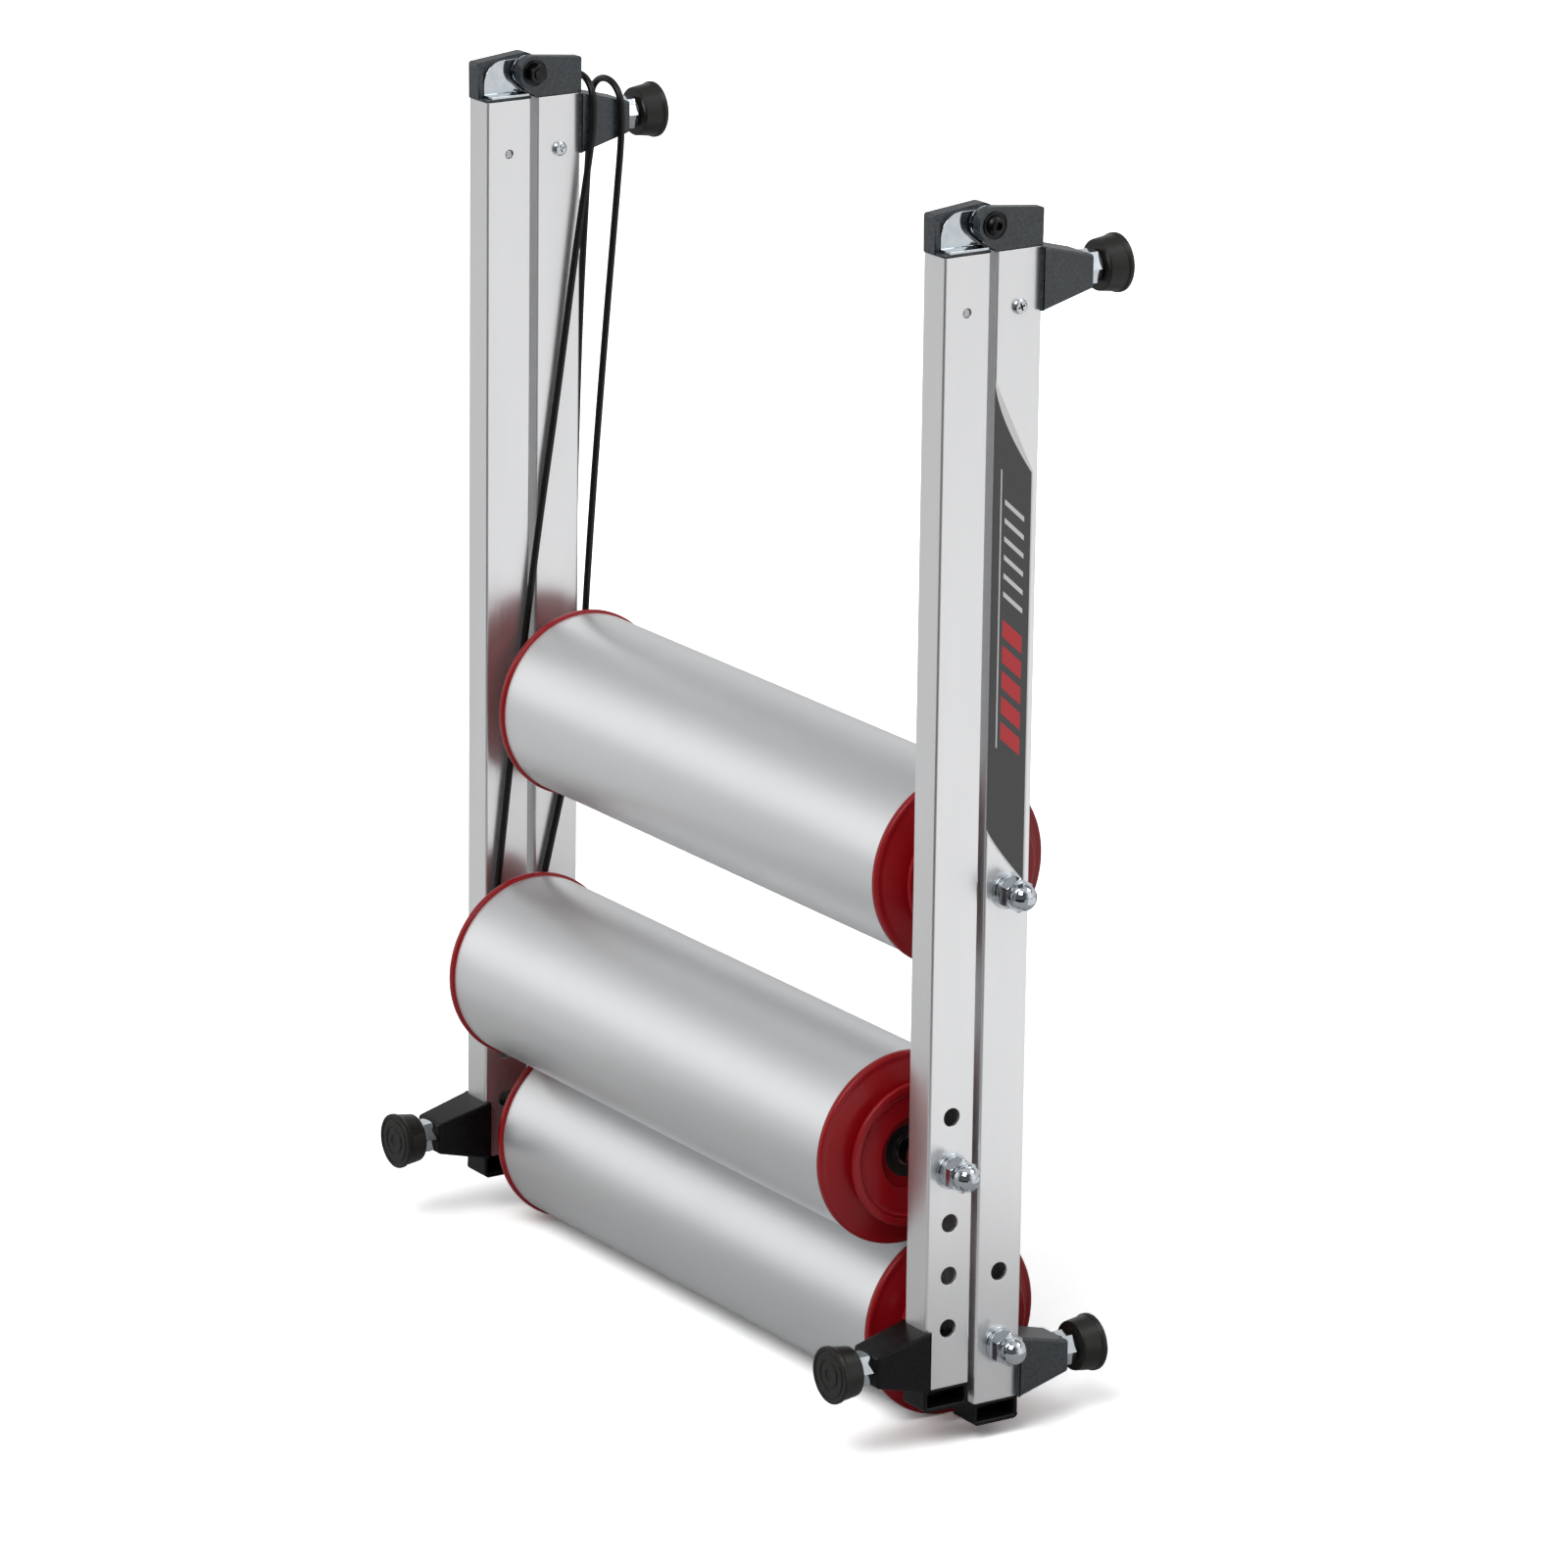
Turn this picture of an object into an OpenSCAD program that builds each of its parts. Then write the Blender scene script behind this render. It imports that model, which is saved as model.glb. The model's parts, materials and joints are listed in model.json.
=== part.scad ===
// Folding bike rollers, stood on end and folded shut.
// X runs along the rollers, Y through the two folded halves, Z up the rails.
// The rear half, at +Y, holds the upper and the lower roller.
// The front half, at -Y, holds the front roller and swings on the top hinges.

/* [Frame] */
// Clear width between the right and the left side frame
inner_w = 432; // [400:2:470]
// Rail thickness along the rollers
rail_t = 20; // [20:1:26]
// Rail width across the fold
rail_w = 29; // [28:1:34]
// Wall of the rail tube
rail_wall = 2; // [1.5:0.25:3]
// Corner radius of the rail tube
rail_r = 1.5; // [0.5:0.25:1.8]
// Gap between the folded rails
rail_gap = 4; // [3:0.5:6]
// Length of a rear rail
rear_rail_len = 639; // [600:1:700]
// How much shorter a front rail is at the bottom
rail_step = 14; // [6:1:20]

/* [Axle places] */
// Lower axle above the end of its rail
lower_above_end = 32.5; // [32:0.5:38]
// Front axle above the lower axle
front_above = 105; // [105:0.5:112]
// Upper axle above the lower axle
upper_above = 257; // [240:1:290]
// Spare hole of a rear rail above the lower axle
spare_above = 41.5; // [36:0.5:60]
// Step between the wheelbase holes of a front rail
hole_pitch = 30; // [26:1:30]
// Wheelbase holes above the front axle
holes_above = 1; // [0:1:2]
// Wheelbase holes below the front axle
holes_below = 3; // [1:1:3]
// Clearance of a bolt in a drilled rail hole
hole_clear = 0.15; // [0.1:0.05:0.4]

/* [Rollers] */
// Radius of the bull-nosed rims
rim_r = 54.5; // [54:0.25:55]
// Thickness of a rim
rim_t = 4.5; // [4:0.25:6]
// Middle of a rim from the inner face of the rail
rim_inset = 26.5; // [25:0.5:32]
// Outer radius of the drum tube
drum_r = 53; // [51:0.5:53.5]
// Wall of the drum tube
drum_wall = 1.5; // [1:0.25:2.5]
// Length of the end cap plugged into the drum
spigot_len = 12; // [8:1:20]
// Wall of the end cap
cap_wall = 3; // [2:0.5:4]
// Flat land between a rim's nose and the cone
rim_land = 4; // [3:0.25:6]

/* [Belt pulley] */
// Outer radius of the pulley ring
ring_r = 41; // [39:0.5:43]
// Ring face from the middle of the rim
ring_h = 14.5; // [13.5:0.5:16]
// Thickness of the pulley ring at its edge
ring_t = 2.6; // [2:0.2:3]
// Width of the ring's face
ring_face_w = 7; // [6.5:0.25:7.5]
// Line in the ring's face, in from its edge
ring_line_in = 4.8; // [4:0.2:5.2]
// Radius at the bottom of the belt groove
groove_r = 33; // [31:0.5:34]
// Middle of the belt groove from the middle of the rim
groove_h = 8.5; // [8:0.25:9]
// Web face from the middle of the rim
web_h = 12.5; // [12:0.25:13]
// Radius of the open hub
hub_open_r = 21.5; // [19:0.5:24]

/* [Bearings and axles] */
// Radius of an axle
axle_r = 5; // [4:0.25:5.5]
// Outer radius of a bearing
bearing_r = 15; // [14:0.5:16]
// Width of a bearing
bearing_w = 9; // [8:0.5:10]
// Inner face of a bearing from the middle of the rim
bearing_in = 2.5; // [2:0.5:4]
// Radius of a bearing ball
ball_r = 2.4; // [2:0.1:2.6]
// Balls in a bearing
ball_count = 8; // [6:1:8]
// Running gap of the balls, the shields and the pivots
run_gap = 0.05; // [0.02:0.01:0.1]
// Radius of the spacer sleeve beside a bearing
spacer_r = 7.4; // [6.8:0.1:8]

/* [Axle fasteners] */
// Width across the flats of the large nuts
nut_af = 17; // [16:0.5:19]
// Thickness of a large nut
nut_h = 8; // [7:0.5:9]
// Radius of a large washer
washer_r = 10; // [9.5:0.25:10.5]
// Thickness of a large flat washer
washer_h = 2; // [1.5:0.25:2.5]
// Thickness of a large spring washer
spring_washer_h = 2.5; // [2:0.25:3]
// Radius of an acorn nut's dome
dome_r = 7.5; // [7:0.25:8]
// Straight neck between hexagon and dome
dome_neck = 2.5; // [1:0.5:4]

/* [Hinge] */
// Pivot height above the rail top
pivot_h = 14.5; // [14.5:0.25:16]
// Radius of the hinge boss
boss_r = 9.7; // [9:0.1:10.2]
// Width of the rear hinge block
rear_block_t = 8.4; // [7:0.2:8.6]
// Side gap between the two hinge blocks
block_gap = 0.6; // [0.4:0.1:1]
// Height of the block at its outer end
block_end_h = 21.2; // [20:0.2:22]
// Collar between rail end and hinge block
collar_h = 1.5; // [1:0.25:2]
// Sheet thickness of the hinge plates' feet
plate_foot_t = 1.5; // [1:0.25:1.75]
// Sheet thickness of the upright hinge plates
plate_t = 2.5; // [2:0.25:3]
// Corner radius of a hinge plate
plate_corner_r = 13; // [8:0.5:14]
// Width of the block's end wall beside its plate
end_wall = 3.4; // [3:0.2:5]
// Radius of the pivot bolt
pivot_r = 3; // [2.5:0.25:4]
// Radius of the round pocket at the pivot
pocket_r = 7.7; // [7.5:0.1:8]
// Depth of the round pocket
pocket_d = 1; // [0.5:0.25:1.5]
// Radius of the pivot washers
pivot_washer_r = 6.9; // [6.5:0.1:7.2]
// Thickness of the pivot washers
pivot_washer_h = 1.2; // [1:0.1:1.6]
// Radius of the button head
head_r = 5.4; // [5:0.1:6.5]
// Height of the button head
head_h = 3.5; // [3:0.25:4.5]
// Width across the flats of the pivot nut
pivot_nut_af = 10; // [9:0.5:11]
// Thickness of the pivot nut
pivot_nut_h = 5; // [4:0.5:6]
// Length of a hinge block's tongue inside the rail
tongue_len = 40; // [36:1:50]
// Radius of the pins and screws that hold the tongues
pin_r = 2.5; // [2:0.25:3]
// Pins and screws below the rail top
pin_drop = 30.5; // [29:0.5:31.5]
// Radius of a screw's pan head
pan_r = 4.3; // [3.8:0.1:4.8]
// Height of a screw's pan head
pan_h = 2.5; // [2:0.25:3]

/* [Legs] */
// Height of a leg bracket at the rail
bracket_h = 34; // [32:1:36]
// Height of a leg bracket at its outer end
bracket_end_h = 18; // [17:1:22]
// Length of a leg bracket beyond the rail
bracket_len = 32; // [26:1:40]
// Width of a leg bracket at the rail
bracket_w = 27; // [25:0.5:30]
// Width of a leg bracket at its outer end
bracket_end_w = 24; // [21:0.5:25]
// Grip of a bracket's lips on the rail
lip_grip = 2.5; // [2:0.25:4]
// Length of stud showing between lock nut and foot
stud_show = 1.6; // [1:0.2:4]
// Radius of a rubber foot at the stud
foot_in_r = 13.8; // [12:0.2:16]
// Radius of a rubber foot's tread
foot_out_r = 16; // [15:0.1:18]
// Length of a rubber foot
foot_len = 14; // [12:0.5:18]
// Depth of the rings in a foot's tread
tread_d = 0.5; // [0.4:0.1:1.2]
// Depth of the stud inside a rubber foot
stud_in_foot = 6; // [4:0.5:8]
// Reach of a stud behind the bracket, into the rail
stud_in_rail = 14; // [8:1:16]

/* [Rail end caps] */
// Height of a rail end cap below the rail
end_cap_h = 13; // [11:1:14]
// Height of the cap's tongue inside the rail
end_tongue = 26; // [24:1:26]
// Depth of the slot in an end cap
slot_d = 16; // [10:1:17]

/* [Belt] */
// Diameter of the round drive belt
belt_d = 4; // [3:0.25:4.5]

/* [Hidden] */
$fn = 64;
drum_fn = 128;
fit_gap = 0.02;
tongue_gap = 0.1;
eps = 0.01;
block_proud = 0.4;
block_edge = 2;
heel_y = 2.9;
plate_inset = 0.5;
plate_proud = 0.5;
nut_edge = 0.9;
split_w = 1;
split_lean = 30;
axle_tip_gap = 1;
socket_af = 4.2;
socket_d = 2.5;
head_round = 3.2;
pan_edge = 1.8;
pin_proud = 0.3;
cross_d = 1.2;
cross_w = 0.9;
cross_turn = 20;
ring_round = 1.4;
ridge_edge = 0.6;
ridge_drop = 0.4;
line_w = 1.2;
line_d = 1;
groove_flat = 0.8;
groove_lip = 1;
bearing_lip = 3;
lip_t = 2;
slot_frame = 2.5;
slot_roof = 2;
end_cap_edge = 3;
tread_groove_w = 1.5;
tread_mid_r = 7.9;
tread_core_r = 3.6;
foot_edge = 0.8;
rail_x = inner_w / 2;
rail_mid = rail_x + rail_t / 2;
rail_out = rail_x + rail_t;
rail_y = rail_gap / 2;
rail_far_y = rail_y + rail_w;
axle_y = rail_y + rail_w / 2;
lower_z = rim_r;
front_z = lower_z + front_above;
upper_z = lower_z + upper_above;
spare_z = lower_z + spare_above;
rear_rail_end = lower_z - lower_above_end;
front_rail_end = rear_rail_end + rail_step;
rail_top = rear_rail_end + rear_rail_len;
pin_z = rail_top - pin_drop;
pivot_z = rail_top + pivot_h;
hole_r = axle_r + hole_clear;
rim_x = rail_x - rim_inset;
drum_end = rim_x - rim_t / 2;
spigot_r = drum_r - drum_wall;
ball_pitch_r = (bearing_r + axle_r) / 2;
race_r = ball_r + run_gap;
race_gap = 1.7;
shield_t = 0.7;
plate_foot_y = rail_y + 1;
bearing_x = rim_x - bearing_in;
inner_stack = washer_h + nut_h;
outer_stack = washer_h + spring_washer_h;
acorn_depth = 10;
axle_half = rail_out + outer_stack + acorn_depth - axle_tip_gap;
front_block_t = rail_t - rear_block_t - block_gap;
rear_top_leg_z = rail_top - bracket_h / 2;
rear_low_leg_z = rear_rail_end + bracket_h / 2;
front_leg_z = front_rail_end + bracket_h / 2;
foot_y = rail_far_y + bracket_len + nut_h + stud_show;
tread_y = foot_y + foot_len;
stud_y0 = rail_far_y - stud_in_rail;

// Route of the drive belt, from under the front axle round the loop.
// X is counted from the middle of the left frame, whose rails were route_rail_t thick.
route_rail_t = 20;
belt_route = [
  [13, -16.5, 146.5], [13, -7.5, 150], [13, -3.9, 156.5], [13, 7, 204],
  [13, 18, 249], [13, 29.5, 296], [13, 31.8, 309], [13, 33, 325],
  [13, 34.2, 361], [13, 39.6, 439], [13, 46.7, 525], [13.5, 53, 599],
  [14.7, 54.8, 630], [15, 54.8, 648], [13.5, 54.6, 657], [8, 54.2, 663],
  [0, 54, 665], [-8, 53.9, 663], [-14, 53.8, 657], [-15.6, 53.7, 647],
  [-15.8, 53.3, 632], [-15.2, 51.3, 606], [-13.6, 46.2, 530], [-12.9, 43, 440],
  [-12.8, 41.8, 360], [-12.8, 41.4, 300], [-12.8, 40.8, 286], [-12.8, 38.8, 279.5],
  [-12.8, 35.5, 277], [-12.8, 32.2, 279.5], [-12.8, 30.6, 286], [-12.8, 30.8, 300],
  [-12.8, 31.5, 360], [-13, 33, 450], [-14.5, 35, 560], [-15.8, 36.5, 630],
  [-16, 37, 650], [-15.4, 37, 660], [-10, 36.8, 667], [-1, 36.5, 669.5],
  [8, 36.2, 667.5], [14, 35.9, 661], [15.8, 35.5, 650], [15.6, 34.2, 631],
  [14, 25.2, 569], [13, 14.2, 489], [13, 0.1, 398], [13, -13, 302],
  [13, -24.4, 206], [13, -29.6, 161.5], [13, -28.4, 154], [13, -24.5, 148.5]];
belt_steps = 2;
belt_sides = 8;
belt_fine_under = 26;

// Points of an arc, seen as [x, y], from angle a0 to a1
function arc(c, r, a0, a1, n = 8) =
  [for (i = [0:n]) c + r * [cos(a0 + (a1 - a0) * i / n), sin(a0 + (a1 - a0) * i / n)]];

// Lay a solid built up the Z axis along X, starting at x and growing to the given side
module along_x(x, y, z, side = 1) {
  translate([x, y, z]) rotate([0, side * 90, 0]) children();
}

// Lay a solid built up the Z axis along Y, starting at y and growing to the given side
module along_y(x, y, z, side = 1) {
  translate([x, y, z]) rotate([-side * 90, 0, 0]) children();
}

module disc(r, h, bore = 0) {
  difference() {
    cylinder(r = r, h = h);
    if (bore > 0) translate([0, 0, -1]) cylinder(r = bore, h = h + 2);
  }
}

module hex_nut(af, h, bore) {
  corner = af / 2 / cos(30);
  difference() {
    intersection() {
      cylinder(r = corner, h = h, $fn = 6);
      rotate_extrude()
        polygon([[0, 0], [af / 2, 0], [corner, nut_edge], [corner, h - nut_edge],
          [af / 2, h], [0, h]]);
    }
    translate([0, 0, -1]) cylinder(r = bore, h = h + 2);
  }
}

module acorn_nut() {
  dome_z = nut_h + dome_neck;
  difference() {
    union() {
      hex_nut(nut_af, nut_h, axle_r + fit_gap);
      translate([0, 0, nut_h - 1]) cylinder(r = dome_r, h = dome_neck + 1);
      translate([0, 0, dome_z]) sphere(r = dome_r);
    }
    translate([0, 0, -dome_r]) cylinder(r = nut_af, h = dome_r);
    translate([0, 0, -1]) cylinder(r = axle_r + fit_gap, h = acorn_depth + 1);
  }
}

module spring_washer() {
  difference() {
    disc(washer_r - 1, spring_washer_h, axle_r + fit_gap);
    rotate([split_lean, 0, 0]) translate([axle_r - 1, -split_w / 2, -washer_r])
      cube([washer_r, split_w, 2 * washer_r]);
  }
}

// Rounded rectangle from x 0 to w and y 0 to d
module round_rect(w, d, r) {
  translate([r, 0]) square([w - 2 * r, d]);
  translate([0, r]) square([w, d - 2 * r]);
  for (x = [r, w - r], y = [r, d - r]) translate([x, y]) circle(r = r);
}

// Empty rail tube, its corner at x and y
module tube(x, y, z, len) {
  translate([x, y, z]) linear_extrude(len) difference() {
    round_rect(rail_t, rail_w, rail_r);
    translate([rail_wall, rail_wall])
      round_rect(rail_t - 2 * rail_wall, rail_w - 2 * rail_wall, rail_r / 2);
  }
}

module cross_holes(x, y, heights, r) {
  for (z = heights) along_x(x - 1, y, z) cylinder(r = r, h = rail_t + 2);
}

module stud_hole(x, side, z, r) {
  along_y(x, side * (rail_far_y - rail_wall - 1), z, side) cylinder(r = r, h = rail_wall + 2);
}

module rear_rail(x) {
  difference() {
    tube(x, rail_y, rear_rail_end, rear_rail_len);
    cross_holes(x, axle_y, [upper_z, lower_z, spare_z], hole_r);
    cross_holes(x, axle_y, [pin_z], pin_r + hole_clear);
    for (z = [rear_top_leg_z, rear_low_leg_z]) stud_hole(x + rail_t / 2, 1, z, hole_r);
  }
}

module front_rail(x) {
  wheelbase = [for (i = [-holes_below:holes_above]) front_z + i * hole_pitch];
  difference() {
    tube(x, -rail_far_y, front_rail_end, rail_top - front_rail_end);
    cross_holes(x, -axle_y, wheelbase, hole_r);
    cross_holes(x, -axle_y, [pin_z], pin_r + hole_clear);
    stud_hole(x + rail_t / 2, -1, front_leg_z, hole_r);
  }
}

// Block that plugs a rail, from z0 up to z0 + h, bored for a foot stud if bore_z is given
module tongue(x, z0, h, bore_z) {
  gap = rail_wall + tongue_gap;
  difference() {
    translate([x + gap, rail_y + gap, z0])
      cube([rail_t - 2 * gap, rail_w - 2 * gap, h]);
    if (bore_z != undef)
      along_y(x + rail_t / 2, rail_y, bore_z) cylinder(r = axle_r + tongue_gap, h = rail_w);
  }
}

// Side outline of a hinge block, drawn as [y, z] with the pivot at the origin
module block_outline(end_y) {
  top = block_end_h - pivot_h;
  circle(r = boss_r);
  polygon(concat(
    [[0, boss_r], [-boss_r * cos(45), -boss_r * sin(45)], [heel_y, -pivot_h + eps]],
    [[end_y, -pivot_h + eps]],
    arc([end_y - block_edge, top - block_edge], block_edge, 0, 84, 4)));
}

module plate_outline(end_y) {
  top = block_end_h - pivot_h + plate_proud;
  foot = -pivot_h + collar_h;
  corner_y = end_y - plate_corner_r;
  circle(r = boss_r - 1);
  polygon(concat(
    [[0, foot + plate_foot_t], [0, top], [corner_y, top]],
    arc([corner_y, top - plate_corner_r], plate_corner_r, 90, 0, 8),
    [[end_y, foot], [plate_foot_y, foot]]));
}

// Set an outline drawn as [y, z] round the pivot, thick along X from x
module at_pivot(x, t) {
  translate([x, 0, pivot_z]) rotate([90, 0, 90]) linear_extrude(t) children();
}

// One half of a hinge with its tongue, as the rear half, at +Y.
// The upright part runs from x0 to x0 + t, with its plate on the plate side.
module hinge_block(x, x0, t, plate_side, pocket_x, pocket_side, stud_z) {
  wall_t = t - plate_t;
  wall_x = plate_side > 0 ? x0 : x0 + plate_t;
  end_y = rail_far_y + block_proud;
  difference() {
    union() {
      at_pivot(wall_x, wall_t) block_outline(end_y);
      translate([x0, end_y - end_wall, rail_top])
        cube([t, end_wall, block_end_h - block_edge - 1]);
      translate([x, rail_y, rail_top]) cube([rail_t, rail_w, collar_h]);
      tongue(x, rail_top - tongue_len, tongue_len + eps, stud_z);
    }
    along_x(x0 - 1, 0, pivot_z) cylinder(r = pivot_r + run_gap, h = t + 2);
    along_x(pocket_x, 0, pivot_z, pocket_side) translate([0, 0, -pocket_d])
      cylinder(r = pocket_r, h = pocket_d + 1);
    along_x(x, axle_y, pin_z) cylinder(r = pin_r + fit_gap, h = rail_t);
  }
}

// Angle plate beside a hinge block: upright from x0, its foot on the collar towards seat
module hinge_plate(x0, foot_x0, foot_x1) {
  end_y = rail_far_y + block_proud - end_wall - tongue_gap;
  difference() {
    union() {
      at_pivot(x0, plate_t) plate_outline(end_y);
      translate([foot_x0, plate_foot_y, rail_top + collar_h])
        cube([foot_x1 - foot_x0, end_y - plate_foot_y, plate_foot_t]);
    }
    along_x(x0 - 1, 0, pivot_z) cylinder(r = pivot_r + run_gap, h = plate_t + 2);
  }
}

module rear_hinge_block(x) {
  x0 = x + rail_t - rear_block_t;
  hinge_block(x, x0, rear_block_t, -1, x + rail_t, 1, rear_top_leg_z);
}

module front_hinge_block(x) {
  mirror([0, 1, 0]) hinge_block(x, x, front_block_t, 1, x, -1, undef);
}

module rear_hinge_plate(x) {
  x0 = x + rail_t - rear_block_t;
  hinge_plate(x0, x + plate_inset, x0 + plate_t);
}

module front_hinge_plate(x) {
  x0 = x + front_block_t - plate_t;
  mirror([0, 1, 0]) hinge_plate(x0, x0, x + rail_t - plate_inset);
}

// Pivot bolt with its head on the outer side of either frame
module pivot_bolt(s) {
  seat = rail_out - pocket_d + pivot_washer_h;
  shank = seat - rail_x - pocket_d + pivot_washer_h + pivot_nut_h + 1;
  difference() {
    union() {
      along_x(s * seat, 0, pivot_z, s) rotate_extrude()
        polygon(concat([[0, 0], [head_r, 0]],
          arc([head_r - head_round, head_h - head_round], head_round, 0, 84, 8),
          [[0, head_h]]));
      along_x(s * seat, 0, pivot_z, -s) translate([0, 0, -eps]) cylinder(r = pivot_r, h = shank);
    }
    along_x(s * (seat + head_h - socket_d), 0, pivot_z, s)
      cylinder(r = socket_af / 2 / cos(30), h = socket_d + 1, $fn = 6);
  }
}

module pivot_nut(s) {
  along_x(s * (rail_x + pocket_d - pivot_washer_h), 0, pivot_z, -s)
    hex_nut(pivot_nut_af, pivot_nut_h, pivot_r + fit_gap);
}

module pivot_washer_pair(s) {
  lift = run_gap;
  along_x(s * (rail_out - pocket_d + lift), 0, pivot_z, s)
    disc(pivot_washer_r, pivot_washer_h - lift, pivot_r + fit_gap);
  along_x(s * (rail_x + pocket_d - lift), 0, pivot_z, -s)
    disc(pivot_washer_r, pivot_washer_h - lift, pivot_r + fit_gap);
}

module tongue_screw(x) {
  shank = rail_t - rail_wall;
  difference() {
    along_x(x + rail_t, axle_y, pin_z) union() {
      translate([0, 0, -shank]) cylinder(r = pin_r, h = shank + eps);
      rotate_extrude() polygon(concat([[0, 0], [pan_r, 0]],
        arc([pan_r - pan_edge, pan_h - pan_edge], pan_edge, 0, 90, 6), [[0, pan_h]]));
    }
    for (a = [cross_turn, cross_turn + 90]) along_x(x + rail_t + pan_h - cross_d, axle_y, pin_z)
      rotate([0, 0, a]) translate([-pan_r / 2, -cross_w / 2, 0])
        cube([pan_r, cross_w, cross_d + 1]);
  }
}

module tongue_pin(x) {
  along_x(x - pin_proud, -axle_y, pin_z) cylinder(r = pin_r, h = rail_t + 2 * pin_proud);
}

// Cap with a side slot, closing the bottom of a rail on the +Y side
module end_cap(x, rail_end) {
  edge = end_cap_edge;
  slot_h = end_cap_h - slot_frame - slot_roof;
  difference() {
    union() {
      translate([x, 0, rail_end - end_cap_h]) rotate([90, 0, 90]) linear_extrude(rail_t)
        polygon(concat([[rail_y, end_cap_h]], arc([rail_y + edge, edge], edge, 180, 270, 6),
          arc([rail_far_y - edge, edge], edge, 270, 360, 6), [[rail_far_y, end_cap_h]]));
      tongue(x, rail_end - eps, end_tongue, rail_end + bracket_h / 2);
    }
    translate([x + rail_t - slot_d, rail_y + slot_frame, rail_end - slot_roof - slot_h])
      cube([slot_d + 1, rail_w - 2 * slot_frame, slot_h]);
  }
}

// Leg bracket on the +Y side, its middle at height z
module bracket(x, z) {
  mid = x + rail_t / 2;
  in_y = rail_far_y - lip_grip;
  end_y = rail_far_y + bracket_len;
  half = bracket_w / 2;
  slope_h = (bracket_h - bracket_end_h) / 2;
  difference() {
    intersection() {
      translate([mid, 0, z - bracket_h / 2]) linear_extrude(bracket_h)
        polygon([[-half, in_y], [-half, rail_far_y], [-bracket_end_w / 2, end_y],
          [bracket_end_w / 2, end_y], [half, rail_far_y], [half, in_y],
          [rail_t / 2, in_y], [rail_t / 2, rail_far_y], [-rail_t / 2, rail_far_y],
          [-rail_t / 2, in_y]]);
      translate([mid - bracket_w, 0, z]) rotate([90, 0, 90]) linear_extrude(2 * bracket_w)
        polygon([[0, -bracket_h / 2], [rail_far_y, -bracket_h / 2],
          [end_y, slope_h - bracket_h / 2], [end_y, bracket_h / 2 - slope_h],
          [rail_far_y, bracket_h / 2], [0, bracket_h / 2]]);
    }
    along_y(mid, rail_y, z) cylinder(r = axle_r + run_gap, h = end_y);
  }
}

module foot(x, z) {
  t = foot_len;
  r = foot_out_r;
  rim_in = r - 2 * tread_groove_w;
  waist = t - 3 * foot_edge;
  along_y(x + rail_t / 2, foot_y, z) rotate_extrude() polygon([
    [0, stud_in_foot], [axle_r + fit_gap, stud_in_foot], [axle_r + fit_gap, 0],
    [foot_in_r - foot_edge, 0], [foot_in_r, foot_edge], [r - foot_edge, waist - foot_edge],
    [r, waist], [r, t - foot_edge], [r - foot_edge, t],
    [rim_in + tread_groove_w / 2, t], [rim_in + tread_groove_w / 2, t - tread_d],
    [rim_in - tread_groove_w / 2, t - tread_d], [rim_in - tread_groove_w / 2, t],
    [tread_mid_r + tread_groove_w / 2, t], [tread_mid_r + tread_groove_w / 2, t - tread_d],
    [tread_mid_r - tread_groove_w / 2, t - tread_d], [tread_mid_r - tread_groove_w / 2, t],
    [tread_core_r, t], [tread_core_r, t - tread_d], [0, t - tread_d]]);
}

module foot_stud(x, z) {
  along_y(x + rail_t / 2, stud_y0, z) cylinder(r = axle_r, h = foot_y + stud_in_foot - stud_y0);
}

module foot_nut(x, z) {
  along_y(x + rail_t / 2, rail_far_y + bracket_len, z)
    hex_nut(nut_af, nut_h, axle_r + fit_gap);
}

module legs_rear() {
  for (x = [rail_x, -rail_out], z = [rear_top_leg_z, rear_low_leg_z])
    translate([x, 0, z]) children();
}

module legs_front() {
  for (x = [rail_x, -rail_out])
    translate([x, 0, front_leg_z]) mirror([0, 1, 0]) children();
}

module axle(y, z) {
  along_x(-axle_half, y, z) cylinder(r = axle_r, h = 2 * axle_half);
}

// Repeat an axle part at both ends of the axles listed as [y, z], growing outwards from x
module at_ends(axles, x, side = 1) {
  for (p = axles, s = [1, -1]) along_x(s * x, p[0], p[1], s * side) children();
}

rear_axles = [[axle_y, upper_z], [axle_y, lower_z]];
front_axles = [[-axle_y, front_z]];

module axle_washers(axles) {
  at_ends(axles, rail_out) disc(washer_r, washer_h, axle_r + fit_gap);
  at_ends(axles, rail_x, -1) disc(washer_r, washer_h, axle_r + fit_gap);
}

module spring_washers(axles) {
  at_ends(axles, rail_out + washer_h) spring_washer();
}

module acorn_nuts(axles) {
  at_ends(axles, rail_out + outer_stack) acorn_nut();
}

module axle_nuts(axles) {
  at_ends(axles, rail_x - washer_h, -1) hex_nut(nut_af, nut_h, axle_r + fit_gap);
}

module axle_spacers(axles) {
  len = rail_x - inner_stack - bearing_x - bearing_w;
  at_ends(axles, rail_x - inner_stack, -1) disc(spacer_r, len, axle_r + fit_gap);
}

module inner_rings(axles) {
  r = ball_pitch_r - race_gap;
  at_ends(axles, bearing_x) rotate_extrude() polygon(concat(
    [[axle_r + fit_gap, 0], [r, 0]],
    arc([ball_pitch_r, bearing_w / 2], race_r, 226, 134, 10),
    [[r, bearing_w], [axle_r + fit_gap, bearing_w]]));
}

module outer_rings(axles) {
  r = ball_pitch_r + race_gap;
  shield_r = ball_pitch_r - race_gap + 3 * run_gap;
  w = bearing_w;
  at_ends(axles, bearing_x) rotate_extrude() polygon(concat(
    [[bearing_r, 0], [bearing_r, w], [shield_r, w], [shield_r, w - shield_t], [r, w - shield_t]],
    arc([ball_pitch_r, w / 2], race_r, 46, -46, 10),
    [[r, shield_t], [shield_r, shield_t], [shield_r, 0]]));
}

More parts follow.
